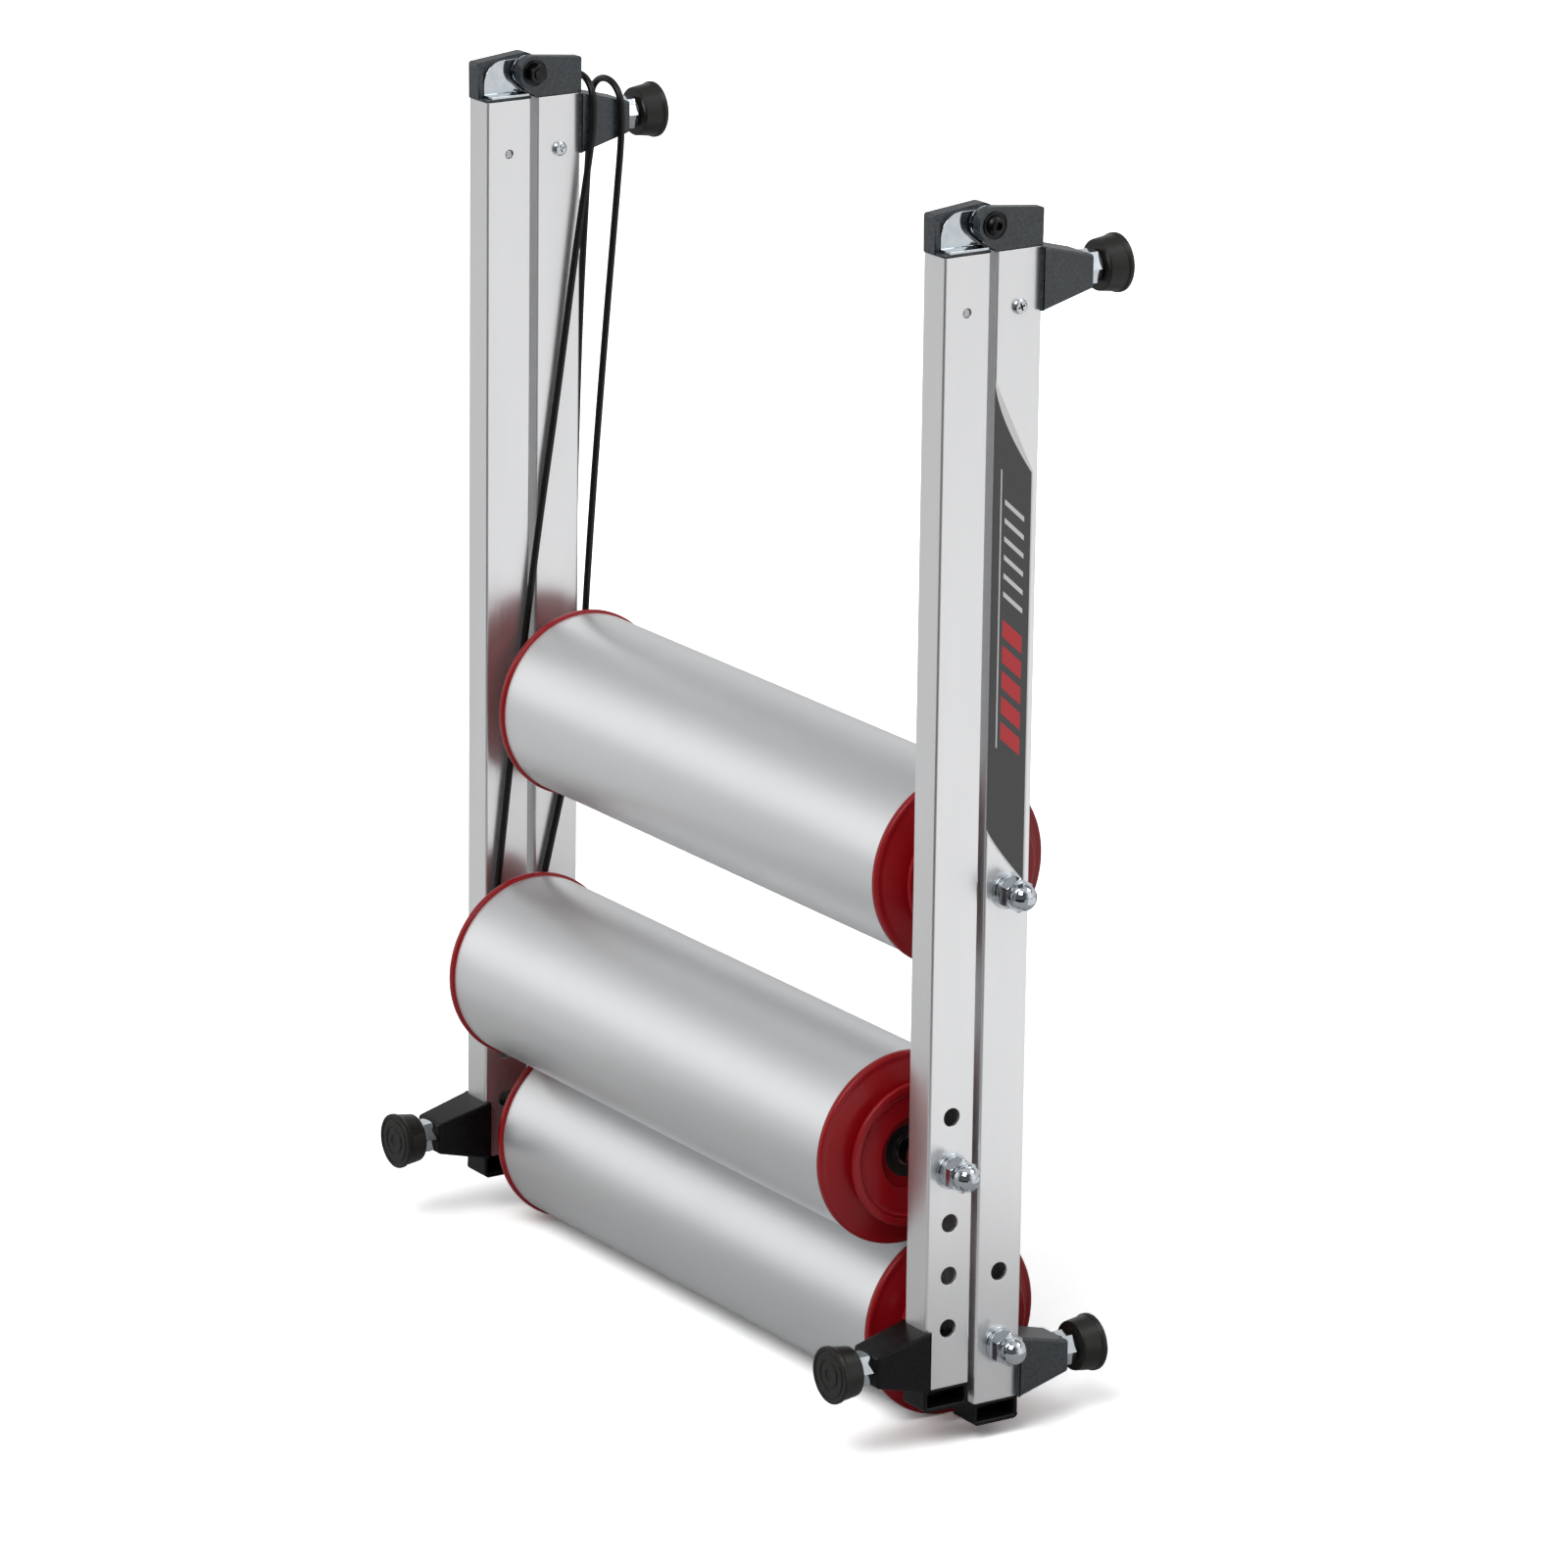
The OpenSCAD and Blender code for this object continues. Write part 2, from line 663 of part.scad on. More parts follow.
module balls(axles) {
  at_ends(axles, bearing_x + bearing_w / 2)
    for (i = [0:ball_count - 1]) rotate([0, 0, i * 360 / ball_count])
      translate([ball_pitch_r, 0, 0]) sphere(r = ball_r);
}

module drum(y, z) {
  difference() {
    along_x(-drum_end, y, z) cylinder(r = drum_r, h = 2 * drum_end, $fn = drum_fn);
    along_x(-drum_end - 1, y, z)
      cylinder(r = spigot_r + fit_gap, h = 2 * drum_end + 2, $fn = drum_fn);
  }
}

// Half section of a roller end cap, drawn as [r, h] with h = 0 at the middle of the rim
module cap_section() {
  hub_r = bearing_r + cap_wall;
  lip_r = bearing_r - bearing_lip;
  seat = -bearing_in;
  seat_top = bearing_w - bearing_in;
  nose = rim_t / 2;
  step_r = ring_r - ring_face_w;
  line_r = ring_r - ring_line_in;
  lip_h = groove_flat + groove_lip;
  polygon(concat(
    [[lip_r, seat - lip_t], [lip_r, seat], [bearing_r, seat], [bearing_r, seat_top]],
    [[hub_open_r, seat_top], [hub_open_r, web_h], [step_r, web_h]],
    [[step_r + ridge_edge, ring_h - ridge_edge], [line_r - line_w / 2, ring_h - ridge_drop]],
    [[line_r - line_w / 4, ring_h - line_d], [line_r + line_w / 4, ring_h - line_d]],
    [[line_r + line_w / 2, ring_h]],
    arc([ring_r - ring_round, ring_h - ring_round], ring_round, 90, 0, 5),
    [[ring_r, ring_h - ring_t], [groove_r + groove_lip, groove_h + lip_h]],
    [[groove_r, groove_h + groove_flat], [groove_r, groove_h - groove_flat]],
    [[groove_r + groove_lip, groove_h - lip_h], [rim_r - rim_land, nose]],
    arc([rim_r - nose, 0], nose, 90, -90, 12),
    [[spigot_r, -nose], [spigot_r, -nose - spigot_len]],
    [[spigot_r - cap_wall, -nose - spigot_len], [spigot_r - cap_wall, nose - cap_wall]],
    [[groove_r - cap_wall, groove_h - lip_h - cap_wall]],
    [[hub_r, seat_top - cap_wall], [hub_r, seat - lip_t]]));
}

module cap(y, z, s) {
  along_x(s * rim_x, y, z, s) rotate_extrude($fn = drum_fn) cap_section();
}

// A point of the belt's route, set beside the left frame and spread for a thicker rail
function route_point(i) =
  let (p = belt_route[(i + len(belt_route)) % len(belt_route)],
    spread = sign(p[0]) * min(2 * abs(p[0]) / route_rail_t, 1) * (rail_t - route_rail_t) / 2)
  [p[0] + spread - rail_mid, p[1], p[2]];

function smooth_point(i, t) =
  let (a = route_point(i - 1), b = route_point(i), c = route_point(i + 1), d = route_point(i + 2))
  0.5 * (2 * b + t * (c - a) + t * t * (2 * a - 5 * b + 4 * c - d)
    + t * t * t * (3 * b - a - 3 * c + d));

function unit(v) = v / norm(v);

belt_points = [for (i = [0:len(belt_route) - 1])
  let (n = norm(route_point(i + 1) - route_point(i)) < belt_fine_under
    ? belt_steps : 1)
  for (k = [0:n - 1]) smooth_point(i, k / n)];

function belt_ring(i) =
  let (n = len(belt_points), p = belt_points[i],
    t = unit(belt_points[(i + 1) % n] - belt_points[(i + n - 1) % n]),
    side = unit(cross(t, [1, 1, 0])), up = cross(t, side))
  [for (k = [0:belt_sides - 1]) let (a = 360 * k / belt_sides)
    p + belt_d / 2 * (cos(a) * side + sin(a) * up)];

module belt() {
  n = len(belt_points);
  m = belt_sides;
  points = [for (i = [0:n - 1]) each belt_ring(i)];
  faces = [for (i = [0:n - 1], k = [0:m - 1])
    let (a = i * m + k, b = i * m + (k + 1) % m,
      c = ((i + 1) % n) * m + (k + 1) % m, d = ((i + 1) % n) * m + k)
    each [[a, b, c], [a, c, d]]];
  polyhedron(points, faces);
}

silver = [0.82, 0.82, 0.83];
zinc = [0.74, 0.77, 0.8];
steel = [0.6, 0.61, 0.63];
charcoal = [0.22, 0.23, 0.25];
rubber = [0.13, 0.13, 0.13];
red = [0.74, 0.12, 0.14];

module rear_rail_right() { color(silver) rear_rail(rail_x); }
module rear_rail_left() { color(silver) rear_rail(-rail_out); }
module front_rail_right() { color(silver) front_rail(rail_x); }
module front_rail_left() { color(silver) front_rail(-rail_out); }
module rear_hinge_block_right() { color(charcoal) rear_hinge_block(rail_x); }
module rear_hinge_block_left() { color(charcoal) rear_hinge_block(-rail_out); }
module front_hinge_block_right() { color(charcoal) front_hinge_block(rail_x); }
module front_hinge_block_left() { color(charcoal) front_hinge_block(-rail_out); }
module rear_hinge_plates() { color(zinc) for (x = [rail_x, -rail_out]) rear_hinge_plate(x); }
module front_hinge_plates() { color(zinc) for (x = [rail_x, -rail_out]) front_hinge_plate(x); }
module pivot_bolts() { color(rubber) for (s = [1, -1]) pivot_bolt(s); }
module pivot_nuts() { color(rubber) for (s = [1, -1]) pivot_nut(s); }
module pivot_washers() { color(rubber) for (s = [1, -1]) pivot_washer_pair(s); }
module rear_tongue_screws() { color(zinc) for (x = [rail_x, -rail_out]) tongue_screw(x); }
module front_tongue_pins() { color(steel) for (x = [rail_x, -rail_out]) tongue_pin(x); }
module rear_end_caps() {
  color(charcoal) for (x = [rail_x, -rail_out]) end_cap(x, rear_rail_end);
}
module front_end_caps() {
  color(charcoal) mirror([0, 1, 0])
    for (x = [rail_x, -rail_out]) end_cap(x, front_rail_end);
}
module rear_top_bracket_right() { color(charcoal) bracket(rail_x, rear_top_leg_z); }
module rear_top_bracket_left() { color(charcoal) bracket(-rail_out, rear_top_leg_z); }
module rear_bottom_bracket_right() { color(charcoal) bracket(rail_x, rear_low_leg_z); }
module rear_bottom_bracket_left() { color(charcoal) bracket(-rail_out, rear_low_leg_z); }
module front_bracket_right() {
  color(charcoal) mirror([0, 1, 0]) bracket(rail_x, front_leg_z);
}
module front_bracket_left() {
  color(charcoal) mirror([0, 1, 0]) bracket(-rail_out, front_leg_z);
}
module rear_feet() { color(rubber) legs_rear() foot(0, 0); }
module front_feet() { color(rubber) legs_front() foot(0, 0); }
module rear_foot_studs() { color(zinc) legs_rear() foot_stud(0, 0); }
module front_foot_studs() { color(zinc) legs_front() foot_stud(0, 0); }
module rear_foot_nuts() { color(zinc) legs_rear() foot_nut(0, 0); }
module front_foot_nuts() { color(zinc) legs_front() foot_nut(0, 0); }
module upper_axle() { color(steel) axle(axle_y, upper_z); }
module lower_axle() { color(steel) axle(axle_y, lower_z); }
module front_axle() { color(steel) axle(-axle_y, front_z); }
module rear_acorn_nuts() { color(zinc) acorn_nuts(rear_axles); }
module front_acorn_nuts() { color(zinc) acorn_nuts(front_axles); }
module rear_axle_washers() { color(zinc) axle_washers(rear_axles); }
module front_axle_washers() { color(zinc) axle_washers(front_axles); }
module rear_spring_washers() { color(zinc) spring_washers(rear_axles); }
module front_spring_washers() { color(zinc) spring_washers(front_axles); }
module rear_axle_nuts() { color(zinc) axle_nuts(rear_axles); }
module front_axle_nuts() { color(zinc) axle_nuts(front_axles); }
module rear_axle_spacers() { color(rubber) axle_spacers(rear_axles); }
module front_axle_spacers() { color(rubber) axle_spacers(front_axles); }
module rear_bearing_inner_rings() { color(steel) inner_rings(rear_axles); }
module front_bearing_inner_rings() { color(steel) inner_rings(front_axles); }
module upper_drum() { color(silver) drum(axle_y, upper_z); }
module upper_cap_right() { color(red) cap(axle_y, upper_z, 1); }
module upper_cap_left() { color(red) cap(axle_y, upper_z, -1); }
module upper_bearing_outer_rings() { color(rubber) outer_rings([rear_axles[0]]); }
module upper_bearing_balls() { color(steel) balls([rear_axles[0]]); }
module lower_drum() { color(silver) drum(axle_y, lower_z); }
module lower_cap_right() { color(red) cap(axle_y, lower_z, 1); }
module lower_cap_left() { color(red) cap(axle_y, lower_z, -1); }
module lower_bearing_outer_rings() { color(rubber) outer_rings([rear_axles[1]]); }
module lower_bearing_balls() { color(steel) balls([rear_axles[1]]); }
module front_drum() { color(silver) drum(-axle_y, front_z); }
module front_cap_right() { color(red) cap(-axle_y, front_z, 1); }
module front_cap_left() { color(red) cap(-axle_y, front_z, -1); }
module front_bearing_outer_rings() { color(rubber) outer_rings(front_axles); }
module front_bearing_balls() { color(steel) balls(front_axles); }
module drive_belt() { color(rubber) belt(); }

rear_rail_right();
rear_rail_left();
front_rail_right();
front_rail_left();
rear_hinge_block_right();
rear_hinge_block_left();
front_hinge_block_right();
front_hinge_block_left();
rear_hinge_plates();
front_hinge_plates();
pivot_bolts();
pivot_nuts();
pivot_washers();
rear_tongue_screws();
front_tongue_pins();
rear_end_caps();
front_end_caps();
rear_top_bracket_right();
rear_top_bracket_left();
rear_bottom_bracket_right();
rear_bottom_bracket_left();
front_bracket_right();
front_bracket_left();
rear_feet();
front_feet();
rear_foot_studs();
front_foot_studs();
rear_foot_nuts();
front_foot_nuts();
upper_axle();
lower_axle();
front_axle();
rear_acorn_nuts();
front_acorn_nuts();
rear_axle_washers();
front_axle_washers();
rear_spring_washers();
front_spring_washers();
rear_axle_nuts();
front_axle_nuts();
rear_axle_spacers();
front_axle_spacers();
rear_bearing_inner_rings();
front_bearing_inner_rings();
upper_drum();
upper_cap_right();
upper_cap_left();
upper_bearing_outer_rings();
upper_bearing_balls();
lower_drum();
lower_cap_right();
lower_cap_left();
lower_bearing_outer_rings();
lower_bearing_balls();
front_drum();
front_cap_right();
front_cap_left();
front_bearing_outer_rings();
front_bearing_balls();
drive_belt();
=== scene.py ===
# %% [markdown]
# Folding bike rollers, stood on end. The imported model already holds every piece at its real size,
# so this lesson only dresses it: smooth turned surfaces, softened edges, and a finish for each
# material. Everything is in metres, with Z up, in the model's own frame.

# %% Load the frame
import json
import math

import bmesh
import bpy
import numpy as np
from mathutils import Matrix


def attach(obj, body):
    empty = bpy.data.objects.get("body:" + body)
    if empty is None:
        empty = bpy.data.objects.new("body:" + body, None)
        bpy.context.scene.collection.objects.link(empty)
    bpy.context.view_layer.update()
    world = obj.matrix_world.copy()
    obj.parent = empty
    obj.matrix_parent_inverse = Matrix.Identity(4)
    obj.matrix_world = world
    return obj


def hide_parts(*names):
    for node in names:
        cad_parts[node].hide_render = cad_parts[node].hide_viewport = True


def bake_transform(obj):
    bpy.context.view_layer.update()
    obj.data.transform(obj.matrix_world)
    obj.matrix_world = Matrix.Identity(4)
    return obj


MM = 0.001
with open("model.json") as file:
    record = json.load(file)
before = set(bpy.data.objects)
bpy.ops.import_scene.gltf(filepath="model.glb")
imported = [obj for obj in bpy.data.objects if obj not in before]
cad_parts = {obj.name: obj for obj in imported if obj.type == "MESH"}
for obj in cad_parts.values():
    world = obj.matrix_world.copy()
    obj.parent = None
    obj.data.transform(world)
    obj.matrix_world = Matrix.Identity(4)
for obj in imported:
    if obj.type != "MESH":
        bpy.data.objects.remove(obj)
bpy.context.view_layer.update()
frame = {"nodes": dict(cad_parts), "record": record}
nodes = frame["nodes"]

# %% [markdown]
# The camera comes first, because every finish is judged through it. Its place, turn and lens were
# solved from the straight edges of the photographed rails, so the render lines up with the photo.
# A long lens far away keeps the two side frames almost parallel, as they are in the photo.

# %% Camera
CAMERA_AT = np.array([3669.5, -2423.2, 1616.7]) * MM
CAMERA_YAW, CAMERA_PITCH, CAMERA_ROLL = 0.58941, -0.28814, 0.013036
FOCAL_PX, FRAME_PX, SENSOR_MM = 8443.8, 1600, 36.0
FARTHEST_SEEN = 50


def camera_axes(yaw, pitch, roll):
    """Right, up and forward of a camera that looks towards -X, turned by yaw, tipped by pitch."""
    forward = np.array([-math.cos(yaw) * math.cos(pitch),
                        math.sin(yaw) * math.cos(pitch), math.sin(pitch)])
    right = np.cross(forward, [0, 0, 1])
    right /= np.linalg.norm(right)
    up = np.cross(right, forward)
    c, s = math.cos(roll), math.sin(roll)
    return c * right + s * up, c * up - s * right, forward


def make_camera():
    """The solved camera, its lens set for a frame FRAME_PX pixels wide."""
    right, up, forward = camera_axes(CAMERA_YAW, CAMERA_PITCH, CAMERA_ROLL)
    data = bpy.data.cameras.new("camera")
    data.sensor_width = SENSOR_MM
    data.lens = FOCAL_PX / FRAME_PX * SENSOR_MM
    data.clip_end = FARTHEST_SEEN
    camera = bpy.data.objects.new("camera", data)
    bpy.context.scene.collection.objects.link(camera)
    turn = np.eye(4)
    turn[:3, 0], turn[:3, 1], turn[:3, 2], turn[:3, 3] = right, up, -forward, CAMERA_AT
    camera.matrix_world = Matrix(turn.tolist())
    bpy.context.scene.camera = camera
    return camera


camera = make_camera()
print("lens", round(camera.data.lens, 1), "mm")

# %% [markdown]
# A finish is a small graph of shader nodes. Written as plain expressions it stays readable, so a
# socket is wrapped in a class whose operators add Math nodes, and one method makes any other node.

# %% Shader helpers


class Value:
    """A number that changes over the surface: arithmetic on it adds Math nodes."""

    def __init__(self, finish, socket):
        self.finish, self.socket = finish, socket

    def _with(self, operation, a, b):
        return self.finish.make("ShaderNodeMath", {"operation": operation}, {0: a, 1: b})

    def __add__(self, other):
        return self._with("ADD", self, other)

    __radd__ = __add__

    def __mul__(self, other):
        return self._with("MULTIPLY", self, other)

    __rmul__ = __mul__

    def __sub__(self, other):
        return self._with("SUBTRACT", self, other)

    def __rsub__(self, other):
        return self._with("SUBTRACT", other, self)

    def __gt__(self, other):
        return self._with("GREATER_THAN", self, other)

    def __lt__(self, other):
        return self._with("LESS_THAN", self, other)

    def __pow__(self, other):
        return self._with("POWER", self, other)

    def __abs__(self):
        return self._with("ABSOLUTE", self, 0)

    def mod(self, other):
        return self._with("FLOORED_MODULO", self, other)


class Finish:
    """One material. Its nodes are made by make(), and principled() closes the graph."""

    def __init__(self, name):
        self.material = bpy.data.materials.new(name)
        self.material.use_nodes = True
        self.tree = self.material.node_tree
        self.tree.nodes.clear()
        self.output = self.tree.nodes.new("ShaderNodeOutputMaterial")

    def set_socket(self, socket, value):
        """Link a Value to a socket, or set its number, vector or colour of three parts."""
        if isinstance(value, Value):
            self.tree.links.new(value.socket, socket)
        elif hasattr(value, "__len__") and socket.type == "RGBA" and len(value) == 3:
            socket.default_value = (*value, 1)
        else:
            socket.default_value = value

    def make(self, kind, settings=None, sockets=None, out=0):
        """Add a node, fill in its settings and sockets, and return one output as a Value."""
        node = self.tree.nodes.new(kind)
        for key, value in (settings or {}).items():
            setattr(node, key, value)
        for key, value in (sockets or {}).items():
            self.set_socket(node.inputs[key], value)
        return Value(self, node.outputs[out])

    def place(self):
        """Where a point lies on the object, in metres."""
        return self.make("ShaderNodeTexCoord", out="Object")

    def axis(self, point, name):
        return self.make("ShaderNodeSeparateXYZ", sockets={0: point}, out="XYZ".index(name))

    def stretched(self, point, scale):
        return self.make("ShaderNodeVectorMath", {"operation": "MULTIPLY"},
                         {0: point, 1: scale})

    def noise(self, point, scale, detail=3.0, roughness=0.5):
        return self.make("ShaderNodeTexNoise", {"noise_dimensions": "3D"},
                         {"Vector": point, "Scale": scale, "Detail": detail,
                          "Roughness": roughness})

    def blend(self, factor, a, b):
        """Colour a where factor is 0, b where it is 1."""
        node = self.tree.nodes.new("ShaderNodeMix")
        node.data_type = "RGBA"
        self.set_socket(node.inputs[0], factor)
        self.set_socket(node.inputs[6], a)
        self.set_socket(node.inputs[7], b)
        return Value(self, node.outputs[2])

    def bump(self, height, distance, strength=1.0):
        return self.make("ShaderNodeBump", {}, {"Strength": strength, "Distance": distance,
                                                "Height": height})

    def close(self, shader):
        self.tree.links.new(shader.socket, self.output.inputs["Surface"])
        return self.material

    def principled(self, **sockets):
        names = {"colour": "Base Color", "rough": "Roughness", "metal": "Metallic",
                 "coat": "Coat Weight", "coat_rough": "Coat Roughness", "normal": "Normal",
                 "specular": "Specular IOR Level"}
        shader = self.make("ShaderNodeBsdfPrincipled", {},
                           {names[k]: v for k, v in sockets.items()})
        return self.close(shader)


# %% [markdown]
# Each finish below is one function. Colour, gloss and fine relief come from where a point lies on
# the object, so the patterns stay put when a piece moves.

# %% Finishes


def rail_finish():
    """Satin anodised extrusion: drawn lines run along the rail, so the noise is stretched in Z."""
    f = Finish("satin_rail")
    at = f.place()
    lines = f.noise(f.stretched(at, (900, 900, 5)), 1.0, 2.0)
    cloud = f.noise(f.stretched(at, (40, 40, 6)), 1.0, 3.0)
    colour = f.blend(cloud, (0.89, 0.895, 0.905), (0.95, 0.955, 0.965))
    return f.principled(colour=colour, metal=0.88, rough=0.26 + 0.12 * lines,
                        normal=f.bump(lines, 0.00002, 0.6))


def drum_finish():
    """Fine turned aluminium: marks run round the drum, so the noise changes fast along X only."""
    f = Finish("turned_drum")
    at = f.place()
    marks = f.noise(f.stretched(at, (2600, 6, 6)), 1.0, 2.0)
    cloud = f.noise(f.stretched(at, (9, 30, 30)), 1.0, 3.0)
    colour = f.blend(cloud, (0.83, 0.84, 0.85), (0.91, 0.92, 0.93))
    return f.principled(colour=colour, metal=0.95, rough=0.36 + 0.10 * marks,
                        normal=f.bump(marks, 0.000012, 0.5))


def cap_finish():
    """Glossy red moulding with a faint flow mottle."""
    f = Finish("red_moulding")
    at = f.place()
    cloud = f.noise(at, 55.0, 3.0)
    colour = f.blend(cloud, (0.27, 0.003, 0.006), (0.34, 0.005, 0.010))
    fine = f.noise(at, 900.0, 2.0)
    return f.principled(colour=colour, rough=0.24 + 0.12 * cloud, coat=0.10, coat_rough=0.15,
                        specular=0.32, normal=f.bump(fine, 0.00002, 0.35))


def moulding_finish(name, dark, light, rough, specular):
    """Dark plastic with a spark-eroded mould grain: pale specks on a darker ground."""
    f = Finish(name)
    at = f.place()
    grain = f.noise(at, 850.0, 2.0, 0.6)
    specks = 2.6 * grain - 0.8
    return f.principled(colour=f.blend(specks, dark, light), rough=rough + 0.18 * grain,
                        specular=specular, normal=f.bump(grain, 0.00014, 0.8))


def rubber_finish(name, dark, light, rough):
    """Moulded rubber, a little greyer where it is dusty."""
    f = Finish(name)
    at = f.place()
    cloud = f.noise(at, 70.0, 4.0)
    grain = f.noise(at, 2200.0, 2.0)
    return f.principled(colour=f.blend(cloud, dark, light), rough=rough + 0.15 * cloud,
                        specular=0.35, normal=f.bump(grain, 0.00003, 0.5))


def zinc_finish():
    """Bright zinc plate: a clear metal with a slightly blue cast and soft smudges."""
    f = Finish("zinc_plate")
    at = f.place()
    cloud = f.noise(at, 160.0, 4.0)
    colour = f.blend(cloud, (0.50, 0.55, 0.59), (0.74, 0.78, 0.81))
    return f.principled(colour=colour, metal=1.0, rough=0.04 + 0.10 * cloud,
                        normal=f.bump(cloud, 0.00004, 0.4))


def screw_finish():
    """Zinc plate again, but dark inside the cross recess of a pan head, where no light gets in."""
    screw_y, screw_z, reach, deepest, open_face = 0.0165, 0.6305, 0.0024, 0.2365, 0.23825
    f = Finish("recessed_screw")
    at = f.place()
    depth, y, z = abs(f.axis(at, "X")), f.axis(at, "Y") - screw_y, f.axis(at, "Z") - screw_z
    near = (y * y + z * z) < reach ** 2
    recess = near * (depth < open_face) * (depth > deepest)
    colour = f.blend(recess, (0.66, 0.70, 0.73), (0.015, 0.015, 0.016))
    return f.principled(colour=colour, metal=1.0, rough=0.14 + 0.4 * recess)


def steel_finish(name, dark, light, rough):
    """Ground or blackened steel."""
    f = Finish(name)
    at = f.place()
    cloud = f.noise(at, 220.0, 3.0)
    return f.principled(colour=f.blend(cloud, dark, light), metal=1.0,
                        rough=rough + 0.12 * cloud)


FINISH = {
    "rail_aluminium": rail_finish(),
    "drum_aluminium": drum_finish(),
    "red_plastic": cap_finish(),
    "charcoal_plastic": moulding_finish("charcoal_moulding", (0.002, 0.004, 0.006),
                                        (0.044, 0.060, 0.070), 0.28, 0.8),
    # The black finish also serves as painted shade on the front leg brackets, which are charcoal
    # like the rear ones
    "black_plastic": moulding_finish("black_moulding_and_painted_shade", (0.002, 0.002, 0.002),
                                     (0.010, 0.010, 0.011), 0.24, 0.2),
    "foot_rubber": rubber_finish("foot_rubber", (0.006, 0.006, 0.006), (0.022, 0.021, 0.018), 0.28),
    "seal_rubber": rubber_finish("seal_rubber", (0.010, 0.010, 0.010), (0.020, 0.020, 0.020), 0.25),
    "belt_rubber": rubber_finish("belt_rubber", (0.003, 0.003, 0.003), (0.007, 0.007, 0.007), 0.28),
    "black_steel": steel_finish("black_steel", (0.02, 0.02, 0.022), (0.05, 0.05, 0.052), 0.26),
    "bright_steel": steel_finish("bright_steel", (0.48, 0.48, 0.49), (0.62, 0.62, 0.63), 0.26),
    "zinc_plate": zinc_finish(),
    "screw": screw_finish(),
}
SLOT_OF = {s["node"]: s["material_slot"] for s in frame["record"]["subparts"]}
BODY_OF = {n: b for b, ns in frame["record"]["behaviour"]["bodies"].items() for n in ns}


def paint(obj, slot):
    """Give an object one finish."""
    obj.data.materials.clear()
    obj.data.materials.append(FINISH[slot])


for name, obj in nodes.items():
    paint(obj, SLOT_OF[name])
print("finishes", len(FINISH), "slots", sorted(set(SLOT_OF.values())))

# %% [markdown]
# Turned parts come from one idea. Draw half of the cut face as corners, each a radius, a height
# along the axis and the size of its rounding, then sweep it round the axis. A hexagon is the same
# sweep with the radius cut off at the flats, which also gives the curved chamfer of a real nut.

# %% Turned surfaces
AXLE = 5.02
NO_CORNER = 0.01
SAME_PLACE = 2e-6
COPLANAR = math.radians(1)


def rounded(section, steps=3):
    """Round a closed section: a quadratic curve leaves each side a little before its corner."""
    out, count = [], len(section)
    for i, (r, h, size) in enumerate(section):
        here = np.array([r, h], float)
        before = np.array(section[i - 1][:2]) - here
        after = np.array(section[(i + 1) % count][:2]) - here
        d0, d1 = np.linalg.norm(before), np.linalg.norm(after)
        reach = min(size, 0.45 * d0, 0.45 * d1)
        if reach < NO_CORNER:
            out.append(here)
            continue
        a, b = here + before / d0 * reach, here + after / d1 * reach
        for t in np.linspace(0, 1, steps + 1):
            out.append((1 - t) ** 2 * a + 2 * t * (1 - t) * here + t * t * b)
    return np.array(out)


def split_sides(section, longest):
    """Cut the long sides of a closed section, so that no step is longer than the given length."""
    out = []
    for a, b in zip(section, np.roll(section, -1, 0)):
        steps = max(1, int(np.ceil(np.linalg.norm(b - a) / longest)))
        out += [a + (b - a) * k / steps for k in range(steps)]
    return np.array(out)


def lathe(section, centre, along, side, around=96, flats=None, socket=None):
    """Sweep a closed [r, h] section: point = centre + side h axis + r (cos a u + sin a v).
    With flats, r is held to flats / cos(a within 60 degrees). Rows of r up to socket become the
    hexagon of a socket in the same way."""
    axis, u, v = {"x": np.eye(3)[[0, 1, 2]], "y": np.eye(3)[[1, 2, 0]]}[along]
    turn = np.arange(around) * 2 * np.pi / around
    stretch = 1 / np.cos((turn + np.pi / 6) % (np.pi / 3) - np.pi / 6)
    r = np.repeat(section[:, :1], around, axis=1)
    if flats:
        r = np.minimum(r, flats * stretch)
    if socket:
        r = np.where(r <= socket + 1e-6, r * stretch, r)
    h = section[:, 1, None, None]
    ring = np.cos(turn)[:, None] * u + np.sin(turn)[:, None] * v
    return np.array(centre) + side * h * axis + r[..., None] * ring


def grid_object(name, grids, nodes_replaced, body, slot, sharp=40):
    """One object from grids of points in mm. Rows and columns of each grid wrap round."""
    faces, first = [], 0
    for grid in grids:
        rows, cols = grid.shape[:2]
        here = first + np.arange(rows * cols).reshape(rows, cols)
        down, right = np.roll(here, -1, 0), np.roll(here, -1, 1)
        faces.append(np.stack([here, right, np.roll(down, -1, 1), down], -1).reshape(-1, 4))
        first += rows * cols
    points = np.concatenate([g.reshape(-1, 3) for g in grids]) * MM
    mesh = bpy.data.meshes.new(name)
    mesh.from_pydata(points.tolist(), [], np.concatenate(faces).tolist())
    return finish_piece(name, mesh, nodes_replaced, body, slot, sharp)


